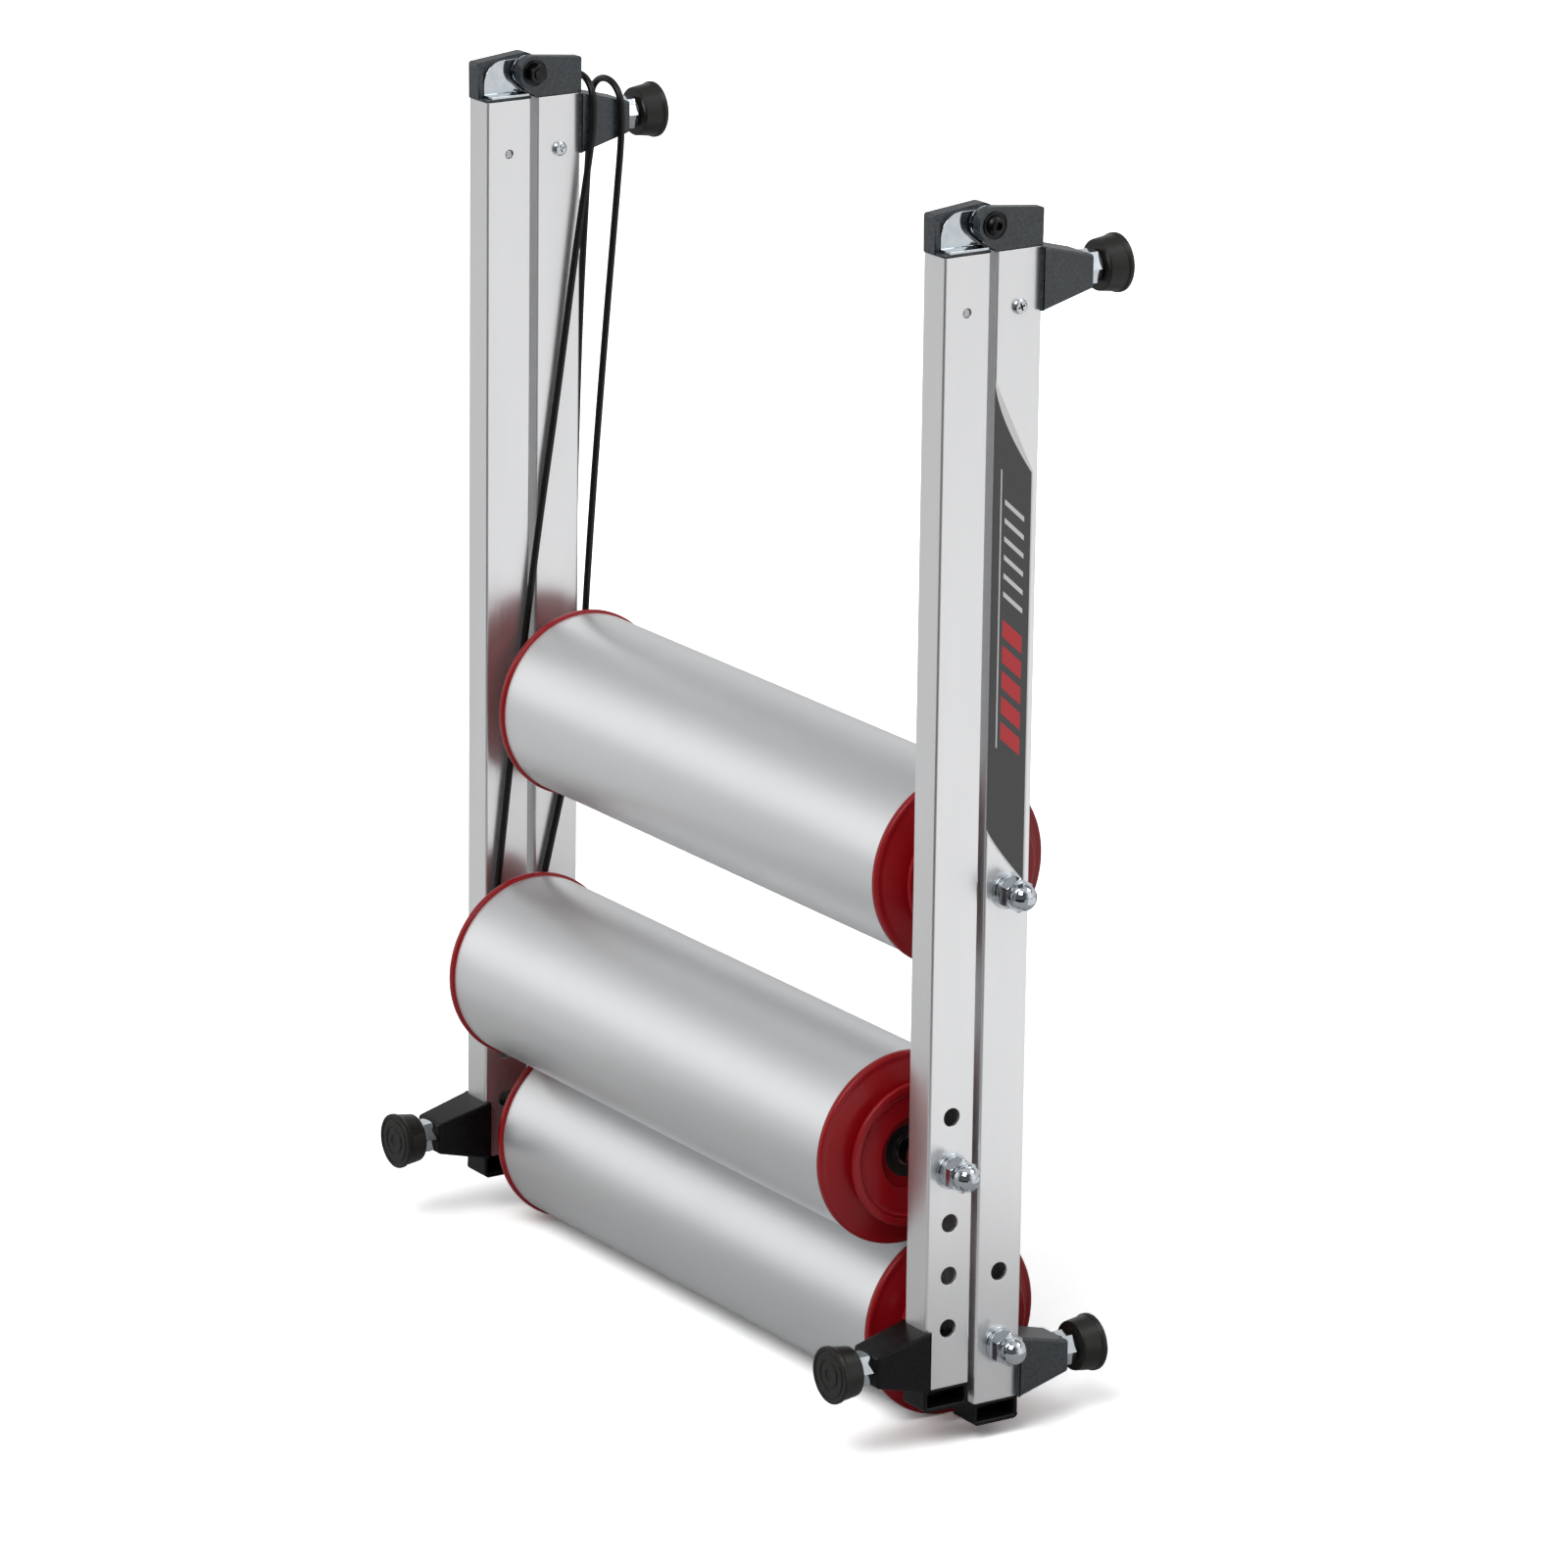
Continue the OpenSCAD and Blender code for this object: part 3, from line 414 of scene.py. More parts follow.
def finish_piece(name, mesh, nodes_replaced, body, slot, sharp, width=0.0, shortest=0.0):
    """Clean a mesh, face it outwards, and make it a piece that stands for its CAD nodes.
    With a width, the sharp edges that are longer than shortest are rounded."""
    bm = bmesh.new()
    bm.from_mesh(mesh)
    bmesh.ops.remove_doubles(bm, verts=bm.verts, dist=SAME_PLACE)
    if width:
        bmesh.ops.dissolve_limit(bm, angle_limit=COPLANAR, verts=bm.verts, edges=bm.edges)
        weight = bm.edges.layers.float.new("bevel_weight_edge")
        for edge in bm.edges:
            edge[weight] = (edge.calc_face_angle(0) > math.radians(sharp)
                            and edge.calc_length() > shortest * MM)
    bmesh.ops.recalc_face_normals(bm, faces=bm.faces)
    bm.to_mesh(mesh)
    bm.free()
    mesh.shade_smooth()
    mesh.set_sharp_from_angle(angle=math.radians(sharp))
    piece = bpy.data.objects.new(name, mesh)
    bpy.context.scene.collection.objects.link(piece)
    if width:
        bevel = piece.modifiers.new("soft_edges", "BEVEL")
        bevel.width, bevel.segments, bevel.limit_method = width * MM, 3, "WEIGHT"
        bevel.use_clamp_overlap, bevel.harden_normals = False, True
    else:
        piece.modifiers.new("flat_faces", "WEIGHTED_NORMAL").keep_sharp = True
    paint(piece, slot)
    if body:
        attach(piece, body)
    if nodes_replaced:
        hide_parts(*nodes_replaced)
    return piece


def nut_section(af, height, bore, edge):
    """Blank of a hexagon nut: its corners are turned off on both faces."""
    corner = af / math.sqrt(3)
    return [(bore, 0, 0.1), (af / 2, 0, 0.05), (corner, edge, 0.05),
            (corner, height - edge, 0.05), (af / 2, height, 0.05), (bore, height, 0.1)]


# %% [markdown]
# The roller caps carry most of the object's character: a bull-nosed rim, a shallow cone, and the
# stepped pulley ring with its belt groove. Their section has every one of those steps, each with
# its own rounding, so the red plastic catches thin highlights as a moulding does.

# %% Rollers
RIM_X, DRUM_END, DRUM_R, SKIRT_R = 189.5, 187.25, 53.0, 51.52
SEAL_IN, SEAL_H = 2.5, 9
REAR_Y, FRONT_Y = 16.5, -16.5
AXLES = {"upper": (REAR_Y, 311.5), "lower": (REAR_Y, 54.5), "front": (FRONT_Y, 159.5)}
CAP = [(12, -4.5, 0.3), (12, -2.5, 0.1), (15, -2.5, 0.05), (15, 6.5, 0.3), (21.5, 6.5, 0.4),
       (21.5, 12.5, 0.6), (34, 12.5, 0.3), (34.6, 13.9, 0.3), (35.6, 14.1, 0.2),
       (35.9, 13.5, 0.15), (36.5, 13.5, 0.15), (36.8, 14.5, 0.25), (41, 14.5, 1.6),
       (41, 11.9, 0.5), (34, 10.3, 0.2), (33, 9.3, 0.5), (33, 7.7, 0.5), (34, 6.7, 0.3),
       (50.5, 2.25, 1.0), (54.5, 2.25, 2.2), (54.5, -2.25, 2.2), (51.5, -2.25, 0.1),
       (51.5, -14.25, 0.4), (48.5, -14.25, 0.4), (48.5, -0.75, 0.5), (30, 3.7, 0.5),
       (18, 3.5, 0.3), (18, -4.5, 0.3)]
DRUM = [(SKIRT_R, -DRUM_END, 0.25), (DRUM_R, -DRUM_END, 0.35), (DRUM_R, DRUM_END, 0.35),
        (SKIRT_R, DRUM_END, 0.25)]
# The seal is the black face that shows in the hub, with a shallow moulded step
SEAL = [(8.4, 0, 0.1), (15, 0, 0.3), (15, SEAL_H, 0.3), (13.9, SEAL_H, 0.1), (13.6, 8.6, 0.1),
        (9.6, 8.6, 0.2), (9.3, SEAL_H, 0.1), (8.4, SEAL_H, 0.1)]

for roller, (y, z) in AXLES.items():
    body = roller + "_roller"
    grid_object(roller + "_tube", [lathe(split_sides(rounded(DRUM), 60), (0, y, z), "x", 1, 192)],
                [roller + "_drum"], body, "drum_aluminium")
    for word, side in (("right", 1), ("left", -1)):
        grid_object(f"{roller}_moulding_{word}",
                    [lathe(rounded(CAP), (side * RIM_X, y, z), "x", side, 168)],
                    [f"{roller}_cap_{word}"], body, "red_plastic")
    grid_object(roller + "_seals",
                [lathe(rounded(SEAL), (side * (RIM_X - SEAL_IN), y, z), "x", side, 72)
                 for side in (1, -1)],
                [roller + "_bearing_outer_rings"], body,
                SLOT_OF[roller + "_bearing_outer_rings"])

# %% [markdown]
# Nuts, washers and the pivot bolts are small, but bright: their chamfers and domes give the points
# of light along the side frames. The dome of an acorn nut is a true half sphere on a short neck.

# %% Fasteners
RAIL_IN, RAIL_MID, RAIL_OUT = 216, 226, 236
PIVOT_Z, PIN_Z = 675.5, 630.5
NUT_AF, NUT_H, DOME_R, DOME_NECK = 17, 8, 7.5, 2.5
NUT_EDGE, WASHER_R, WASHER_H, SPRING_H = 0.9, 10, 2, 2.5
PIVOT_AF, PIVOT_NUT_H, PIVOT_HOLE, PIVOT_WASHER_H, PIVOT_SINK = 10, 5, 3.02, 1.15, 0.95
SOCKET_R, HEAD_R, HEAD_H, PIN_HALF = 2.1, 5.4, 3.5, 9.5
FACES = {"rear": [AXLES["upper"], AXLES["lower"]], "front": [AXLES["front"]]}

dome = [(DOME_R * math.cos(t), NUT_H + DOME_NECK + DOME_R * math.sin(t), 0)
        for t in np.linspace(0, math.pi / 2, 17)]
ACORN = nut_section(NUT_AF, NUT_H, AXLE, NUT_EDGE)[:-1] + [(DOME_R, NUT_H, 0.3)] + dome + [
    (0, 10, 0), (AXLE, 10, 0.1)]
PLAIN_NUT = nut_section(NUT_AF, NUT_H, AXLE, NUT_EDGE)
PIVOT_NUT = nut_section(PIVOT_AF, PIVOT_NUT_H, PIVOT_HOLE, 0.6)
WASHER = [(AXLE, 0, 0.1), (WASHER_R, 0, 0.25), (WASHER_R, WASHER_H, 0.5), (AXLE, WASHER_H, 0.2)]
PIVOT_WASHER = [(PIVOT_HOLE, 0, 0.1), (6.9, 0, 0.15), (6.9, PIVOT_WASHER_H, 0.3),
                (PIVOT_HOLE, PIVOT_WASHER_H, 0.1)]
BUTTON = [(0, -26.4, 0), (3, -26.4, 0.4), (3, 0, 0.05), (HEAD_R, 0, 0.15), (HEAD_R, 0.5, 0.3),
          (5.0, 1.8, 1.0), (3.8, 3.0, 0.9), (2.6, HEAD_H, 0.3), (SOCKET_R, HEAD_H, 0),
          (SOCKET_R, 1.0, 0), (0, 1.0, 0)]


def fine(section, longest=0.35):
    """A rounded section in short steps, so that the flats of a hexagon meet it in smooth arcs."""
    return split_sides(rounded(section), longest)


for half, axles in FACES.items():
    body = half + "_half"
    ends = [(y, z, side) for y, z in axles for side in (1, -1)]
    grid_object(half + "_domed_nuts",
                [lathe(fine(ACORN), (side * (RAIL_OUT + WASHER_H + SPRING_H), y, z), "x", side,
                       72, NUT_AF / 2) for y, z, side in ends],
                [half + "_acorn_nuts"], body, "zinc_plate", 30)
    grid_object(half + "_inner_nuts",
                [lathe(fine(PLAIN_NUT), (side * (RAIL_IN - WASHER_H), y, z), "x", -side,
                       72, NUT_AF / 2) for y, z, side in ends],
                [half + "_axle_nuts"], body, "zinc_plate", 30)
    grid_object(half + "_flat_washers",
                [lathe(rounded(WASHER), (side * x, y, z), "x", side * way, 72)
                 for y, z, side in ends for x, way in ((RAIL_OUT, 1), (RAIL_IN, -1))],
                [half + "_axle_washers"], body, "zinc_plate")

# The pins end just inside the rail walls, with rounded ends that leave a dark ring in the hole
PIN = [(0, -PIN_HALF, 0), (2.45, -PIN_HALF, 1.1), (2.45, PIN_HALF, 1.1), (0, PIN_HALF, 0)]
grid_object("rail_pins", [lathe(fine(PIN), (side * RAIL_MID, FRONT_Y, PIN_Z), "x", side, 60)
                          for side in (1, -1)],
            ["front_tongue_pins"], "front_half", SLOT_OF["front_tongue_pins"])

bolt_x = RAIL_OUT + PIVOT_WASHER_H - PIVOT_SINK
nut_x = RAIL_IN - PIVOT_WASHER_H + PIVOT_SINK
grid_object("button_bolts",
            [lathe(split_sides(rounded(BUTTON), 2.0), (side * bolt_x, 0, PIVOT_Z), "x", side, 72,
                   socket=SOCKET_R) for side in (1, -1)],
            ["pivot_bolts"], BODY_OF["pivot_bolts"], SLOT_OF["pivot_bolts"], 30)
grid_object("hinge_nuts",
            [lathe(fine(PIVOT_NUT), (side * nut_x, 0, PIVOT_Z), "x", -side, 72, PIVOT_AF / 2)
             for side in (1, -1)],
            ["pivot_nuts"], BODY_OF["pivot_nuts"], SLOT_OF["pivot_nuts"], 30)
grid_object("hinge_washers",
            [lathe(rounded(PIVOT_WASHER), (side * x, 0, PIVOT_Z), "x", side * way, 60)
             for side in (1, -1)
             for x, way in ((RAIL_OUT - PIVOT_SINK, 1), (RAIL_IN + PIVOT_SINK, -1))],
            ["pivot_washers"], BODY_OF["pivot_washers"], SLOT_OF["pivot_washers"])

# %% [markdown]
# The feet are rubber mushrooms on zinc studs: a short cone, a collar at the tread, and two rings
# moulded into the tread face. The lock nut behind each foot is the same hexagon blank as above.

# %% Feet
FOOT_Y, BRACKET_Y = 72.6, 63.0
TREAD_H, GROOVE_H, COLLAR_R = 14, 13.5, 16.0
GROOVES = ((13.75, 12.25), (8.65, 7.15))
FOOT = [(0, 6, 0), (AXLE, 6, 0.1), (AXLE, 0, 0.1), (13.8, 0, 1.0), (15.2, 10.6, 0.8),
        (COLLAR_R, 11.7, 0.4), (COLLAR_R, TREAD_H, 0.9)]
for outer, inner in GROOVES:
    FOOT += [(outer, TREAD_H, 0.3), (outer, GROOVE_H, 0.2), (inner, GROOVE_H, 0.2),
             (inner, TREAD_H, 0.3)]
FOOT += [(3.6, TREAD_H, 0.3), (3.6, GROOVE_H, 0.3), (0, GROOVE_H, 0)]
LEGS = {"rear": (1, [644, 39]), "front": (-1, [53])}

for half, (way, heights) in LEGS.items():
    spots = [(side * RAIL_MID, z) for side in (1, -1) for z in heights]
    grid_object(half + "_rubber_feet",
                [lathe(rounded(FOOT), (x, way * FOOT_Y, z), "y", way, 96) for x, z in spots],
                [half + "_feet"], half + "_half", "foot_rubber")
    grid_object(half + "_lock_nuts",
                [lathe(fine(PLAIN_NUT), (x, way * BRACKET_Y, z), "y", way, 72, NUT_AF / 2)
                 for x, z in spots],
                [half + "_foot_nuts"], half + "_half", "zinc_plate", 30)

# %% [markdown]
# Flat and moulded pieces keep the shape of their CAD solid. Each gets a copy whose flat faces are
# joined again and whose edges are eased by its own radius: small on metal, larger on plastic. A
# plastic piece also names its shortest eased edge, because the ends of its small arcs stay crisp.
# The caps on the rail ends get a plainer black than the other mouldings. The front leg brackets get
# that black too, as painted shade: they are the same charcoal moulding as the rear brackets,
# darkened for the light they miss.

# %% Eased copies
CREASE = 35
EASING = {
    "rail": (0.2,), "hinge_block": (0.7, 3), "hinge_plates": (0.3,), "end_caps": (1.1, 3),
    "bracket": (1.6, 5), "tongue_screws": (0.12,), "spring_washers": (0.25,),
    "foot_studs": (0.4,),
}


def eased(name, *sizes):
    """A copy of a CAD solid with its edges rounded by the given sizes in mm."""
    source = nodes[name].data
    mesh = bpy.data.meshes.new(name + "_eased")
    mesh.from_pydata([v.co[:] for v in source.vertices], [],
                     [p.vertices[:] for p in source.polygons])
    return finish_piece(name + "_eased", mesh, [name], BODY_OF[name], SLOT_OF[name], CREASE,
                        *sizes)


for name in list(nodes):
    for kind, sizes in EASING.items():
        if kind in name:
            piece = eased(name, *sizes)
            if kind == "tongue_screws":
                piece.data.materials[0] = FINISH["screw"]
            # Painted shade: the front leg brackets take the black finish in place of the charcoal
            # of the rear brackets
            if kind == "end_caps" or (kind == "bracket" and "front" in name):
                piece.data.materials[0] = FINISH["black_plastic"]

# %% [markdown]
# The drive belt is put away over the left side frame. Its middle line runs through the points
# below, counted from the middle of that frame, and a Catmull-Rom curve joins them smoothly.

# %% Drive belt
BELT_R = 2.0
BELT_ROUTE = np.array([
    (13, -16.5, 146.5), (13, -7.5, 150), (13, -3.9, 156.5), (13, 7, 204), (13, 18, 249),
    (13, 29.5, 296), (13, 31.8, 309), (13, 33, 325), (13, 34.2, 361), (13, 39.6, 439),
    (13, 46.7, 525), (13.5, 53, 599), (14.7, 54.8, 630), (15, 54.8, 648), (13.5, 54.6, 657),
    (8, 54.2, 663), (0, 54, 665), (-8, 53.9, 663), (-14, 53.8, 657), (-15.6, 53.7, 647),
    (-15.8, 53.3, 632), (-15.2, 51.3, 606), (-13.6, 46.2, 530), (-12.9, 43, 440),
    (-12.8, 41.8, 360), (-12.8, 41.4, 300), (-12.8, 40.8, 286), (-12.8, 38.8, 279.5),
    (-12.8, 35.5, 277), (-12.8, 32.2, 279.5), (-12.8, 30.6, 286), (-12.8, 30.8, 300),
    (-12.8, 31.5, 360), (-13, 33, 450), (-14.5, 35, 560), (-15.8, 36.5, 630), (-16, 37, 650),
    (-15.4, 37, 660), (-10, 36.8, 667), (-1, 36.5, 669.5), (8, 36.2, 667.5), (14, 35.9, 661),
    (15.8, 35.5, 650), (15.6, 34.2, 631), (14, 25.2, 569), (13, 14.2, 489), (13, 0.1, 398),
    (13, -13, 302), (13, -24.4, 206), (13, -29.6, 161.5), (13, -28.4, 154), (13, -24.5, 148.5)])


def closed_curve(points, steps):
    """Catmull-Rom through a closed ring of points: half of 2b + t(c-a) + t2(2a-5b+4c-d) + ..."""
    a, b = np.roll(points, 1, 0)[:, None], points[:, None]
    c, d = np.roll(points, -1, 0)[:, None], np.roll(points, -2, 0)[:, None]
    t = (np.arange(steps) / steps)[None, :, None]
    line = 0.5 * (2 * b + t * (c - a) + t ** 2 * (2 * a - 5 * b + 4 * c - d)
                  + t ** 3 * (3 * b - a - 3 * c + d))
    return line.reshape(-1, 3)


def belt_tube(line, radius, sides):
    """Rings round the line. Crossing the run of the belt with (1, 1, 0) keeps them untwisted."""
    run = np.roll(line, -1, 0) - np.roll(line, 1, 0)
    run /= np.linalg.norm(run, axis=1, keepdims=True)
    side = np.cross(run, [1, 1, 0])
    side /= np.linalg.norm(side, axis=1, keepdims=True)
    up = np.cross(run, side)
    a = (np.arange(sides) * 2 * np.pi / sides)[None, :, None]
    return line[:, None] + radius * (np.cos(a) * side[:, None] + np.sin(a) * up[:, None])


belt_line = closed_curve(BELT_ROUTE - [RAIL_MID, 0, 0], 10)
belt = grid_object("belt", [belt_tube(belt_line, BELT_R, 16)], ["drive_belt"], None,
                   "belt_rubber", 60)
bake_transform(belt)
print("belt", round(np.linalg.norm(np.roll(belt_line, -1, 0) - belt_line, axis=1).sum()), "mm")

# %% [markdown]
# The sticker on the outer face of each rear rail is a thin sheet with a curved top and bottom edge.
# Its print is plain geometry: a graphite ground, a fine pale border, and a run of slanted bars.

# %% Rail stickers
STICKER_Y, STICKER_W, STICKER_T = 2.4, 25.2, 0.08
TOP_Z, TOP_DROP, TOP_POWER = 592.0, 52.0, 0.68
LOW_Z, LOW_DROP, LOW_POWER = 346.0, 33.0, 0.85
BACK_GAP = 0.005
# The print, in metres along the slant: where a run of bars starts and ends, its pitch and bar width
RED_BARS, WHITE_BARS = (0.392, 0.462, 0.014, 0.0095), (0.470, 0.530, 0.010, 0.0028)
BARS_FROM, BARS_TO = 0.30, 0.80
PIN_LINE_AT, PIN_LINE_HALF, PIN_LINE_RUN = 0.20, 0.016, (0.385, 0.537)
BORDER, BORDER_FROM = 0.0016, 0.965
SLANT, SLANT_Y = 0.9, 0.015


def sticker_sheet(side):
    """A closed sheet: the front rows go down, the back rows come up, and both sides are pinched."""
    u = np.linspace(0, 1, 49)
    v = np.linspace(0, 1, 101)[:, None]
    top, low = TOP_Z - TOP_DROP * u ** TOP_POWER, LOW_Z - LOW_DROP * u ** LOW_POWER
    z = top + (low - top) * v
    y = np.broadcast_to(STICKER_Y + STICKER_W * u, z.shape)
    lift = STICKER_T * np.minimum(1, 60 * u * (1 - u))
    front = np.stack([np.broadcast_to(side * (RAIL_OUT + lift), z.shape), y, z], -1)
    back = front.copy()
    back[..., 0] = side * (RAIL_OUT + BACK_GAP)
    return np.concatenate([front, back[::-1]])


def sticker_finish():
    """u runs across the sheet. Print colours are switched on by comparing lengths in metres."""
    f = Finish("printed_sticker")
    at = f.place()
    y, z = f.axis(at, "Y"), f.axis(at, "Z")
    u = (y - STICKER_Y * MM) * (1000 / STICKER_W)
    from_top = (TOP_Z * MM - TOP_DROP * MM * u ** TOP_POWER) - z
    from_low = z - (LOW_Z * MM - LOW_DROP * MM * u ** LOW_POWER)
    border = 1 - (from_top > BORDER) * (from_low > BORDER) * (u < BORDER_FROM)
    slant = z + SLANT * (y - SLANT_Y)
    across = (u > BARS_FROM) * (u < BARS_TO)

    def bars(start, end, pitch, width):
        return across * (slant > start) * (slant < end) * (slant.mod(pitch) < width)

    start, end = PIN_LINE_RUN
    pin_line = (abs(u - PIN_LINE_AT) < PIN_LINE_HALF) * (slant > start) * (slant < end)
    speck = f.noise(at, 900.0, 2.0)
    ground = f.blend(speck, (0.050, 0.050, 0.052), (0.072, 0.072, 0.074))
    colour = f.blend(bars(*RED_BARS), ground, (0.62, 0.025, 0.035))
    colour = f.blend(bars(*WHITE_BARS) + pin_line, colour, (0.80, 0.80, 0.80))
    colour = f.blend(border, colour, (0.86, 0.86, 0.86))
    return f.principled(colour=colour, rough=0.34 + 0.1 * speck, coat=0.2, coat_rough=0.2)


FINISH["sticker"] = sticker_finish()
for word, side in (("right", 1), ("left", -1)):
    sheet = grid_object("rail_sticker_" + word, [sticker_sheet(side)], [], "rear_half",
                        "rail_aluminium", 60)
    sheet.data.materials[0] = FINISH["sticker"]

# %% [markdown]
# Room and light. A soft lamp stands high on the camera's side, a weak one on the right, under an
# even sky. The camera sees a floor so bright that it burns out to white, as in the photo, and only
# the close shadows are left. Polished surfaces see what stood in the studio: a sweep that darkens
# above the horizon and bands the drums, bright floor on the right and on the left, a dark room
# behind the camera that draws a line down each rail corner, and a softbox high at the back that
# picks out the edges of the dark mouldings.

# %% Floor, sky and lamps
FLOOR_SIZE = 24
FLOOR_COLOUR, FLOOR_SEEN = (0.52, 0.52, 0.52), (2.1, 2.1, 2.1)
FAR_GLOW, GLOW_FROM, GLOW_TO = (0.5, 0.5, 0.5), 0.45, 1.6
CARD_NEAR, CARD_FAR, CARD_LIFT = 0.9, 6.0, 0.004
SKY_STRENGTH, ROOM_STRENGTH = 0.42, 1.15
# What polished surfaces see: a direction's height from 0 to 1 and its level, and how far it leans
# to the camera's side, from 0 to 1, and its share
SKY_BANDS = [(0.0, 0.85), (0.30, 1.0), (0.45, 0.84), (0.61, 0.28), (0.75, 0.32), (1.0, 0.65)]
ROOM_SHARES = [(0.0, 0.62), (0.25, 0.72), (0.48, 1.0), (0.62, 0.95), (0.85, 0.1)]
CAMERA_SIDE = (0.55, -0.83, 0.0)


def make_floor():
    """A matt grey floor, which the camera alone sees as burnt out, glowing more with distance."""
    bpy.ops.mesh.primitive_plane_add(size=FLOOR_SIZE, location=(0, 0, 0))
    floor = bpy.context.object
    floor.name = "floor"
    f = Finish("pale_floor")
    plain = f.make("ShaderNodeBsdfDiffuse", {}, {"Color": FLOOR_COLOUR})
    at = f.place()
    x, y = f.axis(at, "X"), f.axis(at, "Y")
    away = f.make("ShaderNodeMapRange", {}, {
        "Value": (x * x + y * y) ** 0.5, "From Min": GLOW_FROM, "From Max": GLOW_TO,
        "To Min": 0, "To Max": 1})
    glow = f.make("ShaderNodeEmission", {}, {"Color": f.blend(away, (0, 0, 0), FAR_GLOW),
                                             "Strength": 1.0})
    bright = f.make("ShaderNodeBsdfDiffuse", {}, {"Color": FLOOR_SEEN})
    lifted = f.make("ShaderNodeAddShader", {}, {0: bright, 1: glow})
    seen = f.make("ShaderNodeLightPath", out="Is Camera Ray")
    floor.data.materials.append(
        f.close(f.make("ShaderNodeMixShader", {}, {0: seen, 1: plain, 2: lifted})))


def floor_sector(start, end, nearest=CARD_NEAR):
    """Four points just over the floor, between two bearings in degrees and two distances."""
    return [(r * math.cos(math.radians(a)), r * math.sin(math.radians(a)), CARD_LIFT)
            for r, a in ((nearest, start), (CARD_FAR, start), (CARD_FAR, end), (nearest, end))]


def facing_square(at, size, middle=(0, 0, 0.35)):
    """Four points of a square that faces the middle of the object."""
    back = np.array(at, float) - middle
    back /= np.linalg.norm(back)
    side = np.cross([0, 0, 1], back)
    side *= size / 2 / np.linalg.norm(side)
    up = np.cross(back, side)
    return [tuple(np.array(at) + i * side + j * up)
            for i, j in ((-1, -1), (1, -1), (1, 1), (-1, 1))]


def make_card(name, corners, level):
    """A plain sheet that only polished surfaces see, and the camera and the floor do not."""
    mesh = bpy.data.meshes.new(name)
    mesh.from_pydata(corners, [], [(0, 1, 2, 3)])
    card = bpy.data.objects.new(name, mesh)
    bpy.context.scene.collection.objects.link(card)
    card.visible_camera = card.visible_diffuse = card.visible_shadow = False
    f = Finish(name)
    mesh.materials.append(f.close(f.make("ShaderNodeEmission", {}, {"Color": (1, 1, 1),
                                                                    "Strength": level})))


def set_stops(node, stops):
    """Give a ramp grey stops, each a place and a level."""
    ramp = node.color_ramp
    while len(ramp.elements) < len(stops):
        ramp.elements.new(0.5)
    for element, (place, level) in zip(ramp.elements, stops):
        element.position, element.color = place, (level, level, level, 1)


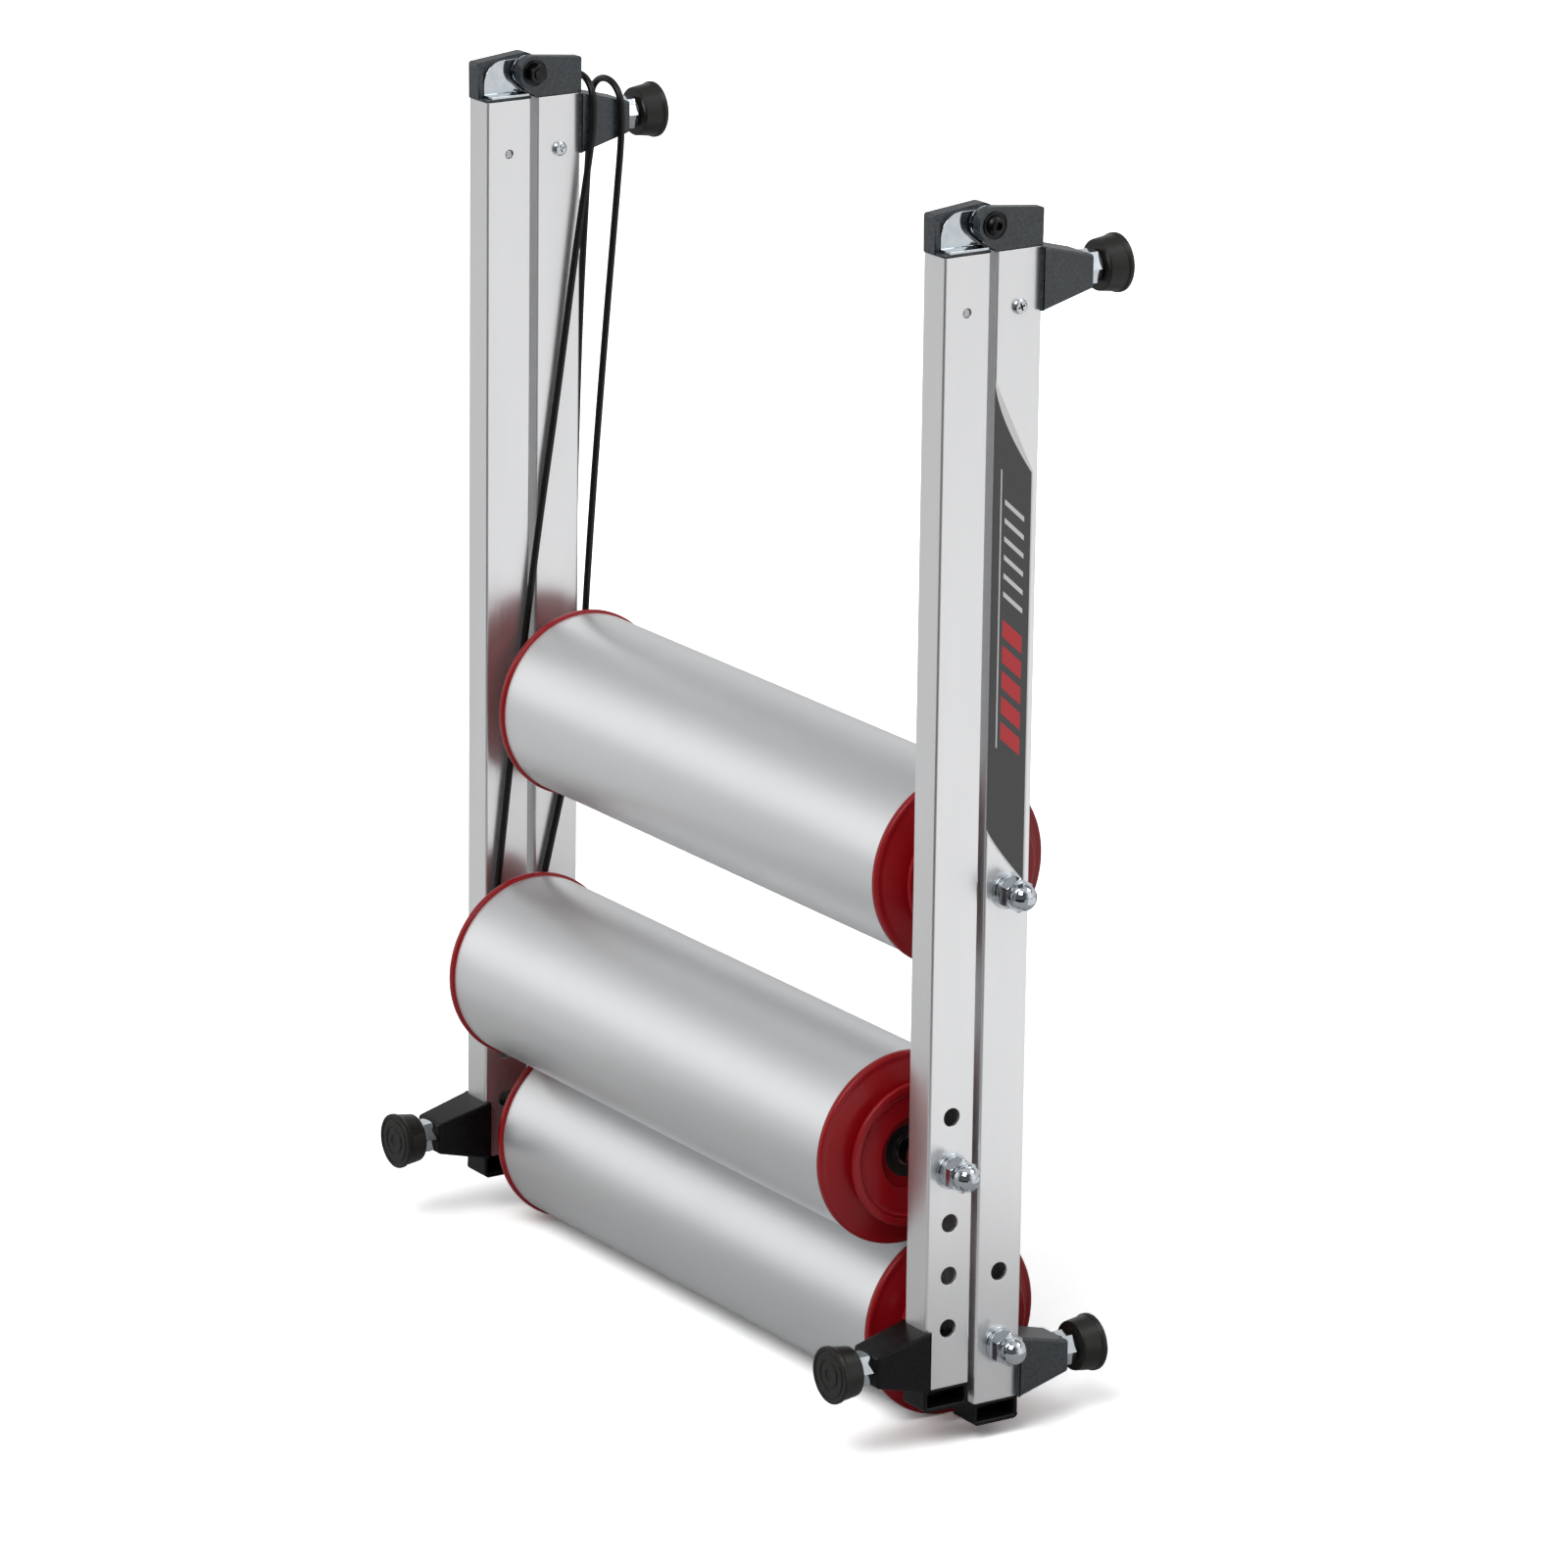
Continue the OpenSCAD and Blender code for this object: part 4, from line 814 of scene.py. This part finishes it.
def make_sky():
    """White to the camera, even and dimmer to matt surfaces, banded by height to glossy ones."""
    world = bpy.data.worlds.new("sky")
    bpy.context.scene.world = world
    world.use_nodes = True
    tree = world.node_tree
    tree.nodes.clear()
    path = tree.nodes.new("ShaderNodeLightPath")
    way = tree.nodes.new("ShaderNodeTexCoord")
    height = tree.nodes.new("ShaderNodeSeparateXYZ")
    tree.links.new(way.outputs["Generated"], height.inputs[0])
    ramp = tree.nodes.new("ShaderNodeValToRGB")
    tree.links.new(height.outputs["Z"], ramp.inputs[0])
    set_stops(ramp, SKY_BANDS)
    backs = []
    for level in (SKY_STRENGTH, 1.0, 1.0):
        back = tree.nodes.new("ShaderNodeBackground")
        back.inputs["Strength"].default_value = level
        back.inputs["Color"].default_value = (1, 1, 1, 1)
        backs.append(back)
    # The room is dark on the camera's side, which draws the dark lines along polished corners
    facing = tree.nodes.new("ShaderNodeVectorMath")
    facing.operation = "DOT_PRODUCT"
    facing.inputs[1].default_value = CAMERA_SIDE
    tree.links.new(way.outputs["Generated"], facing.inputs[0])
    lean = tree.nodes.new("ShaderNodeMapRange")
    lean.inputs["From Min"].default_value = -1
    tree.links.new(facing.outputs["Value"], lean.inputs["Value"])
    shade = tree.nodes.new("ShaderNodeValToRGB")
    set_stops(shade, ROOM_SHARES)
    tree.links.new(lean.outputs[0], shade.inputs[0])
    strength = tree.nodes.new("ShaderNodeMath")
    strength.operation = "MULTIPLY"
    strength.inputs[1].default_value = ROOM_STRENGTH
    tree.links.new(shade.outputs[0], strength.inputs[0])
    tree.links.new(strength.outputs[0], backs[1].inputs["Strength"])
    tree.links.new(ramp.outputs[0], backs[1].inputs["Color"])
    shader = backs[0]
    for test, back in (("Is Glossy Ray", backs[1]), ("Is Camera Ray", backs[2])):
        mix = tree.nodes.new("ShaderNodeMixShader")
        tree.links.new(path.outputs[test], mix.inputs[0])
        tree.links.new(shader.outputs[0], mix.inputs[1])
        tree.links.new(back.outputs[0], mix.inputs[2])
        shader = mix
    out = tree.nodes.new("ShaderNodeOutputWorld")
    tree.links.new(shader.outputs[0], out.inputs[0])


def make_lamp(name, at, target, size, watts):
    """A square soft lamp at a point, turned so that it shines on the target."""
    data = bpy.data.lights.new(name, "AREA")
    data.shape, data.size, data.energy = "SQUARE", size, watts
    lamp = bpy.data.objects.new(name, data)
    bpy.context.scene.collection.objects.link(lamp)
    back = np.array(at, float) - np.array(target, float)
    back /= np.linalg.norm(back)
    side = np.cross([0, 0, 1], back)
    side /= np.linalg.norm(side)
    turn = np.eye(4)
    turn[:3, 0], turn[:3, 1], turn[:3, 2], turn[:3, 3] = side, np.cross(back, side), back, at
    lamp.matrix_world = Matrix(turn.tolist())


make_floor()
make_card("dark_card", floor_sector(-95, -18), 0.015)
make_card("bright_card", floor_sector(5, 80, 0.6), 0.85)
make_card("left_card", floor_sector(185, 245, 0.6), 0.55)
make_card("back_softbox", facing_square((1.5, 2.6, 4.0), 1.8), 3.5)
make_sky()
make_lamp("key_lamp", (1.6, -2.9, 4.0), (0, 0, 0.2), 2.6, 110)
make_lamp("side_lamp", (3.0, 1.6, 3.4), (0, 0, 0.3), 2.4, 12)
bpy.context.scene.view_settings.view_transform = "Standard"
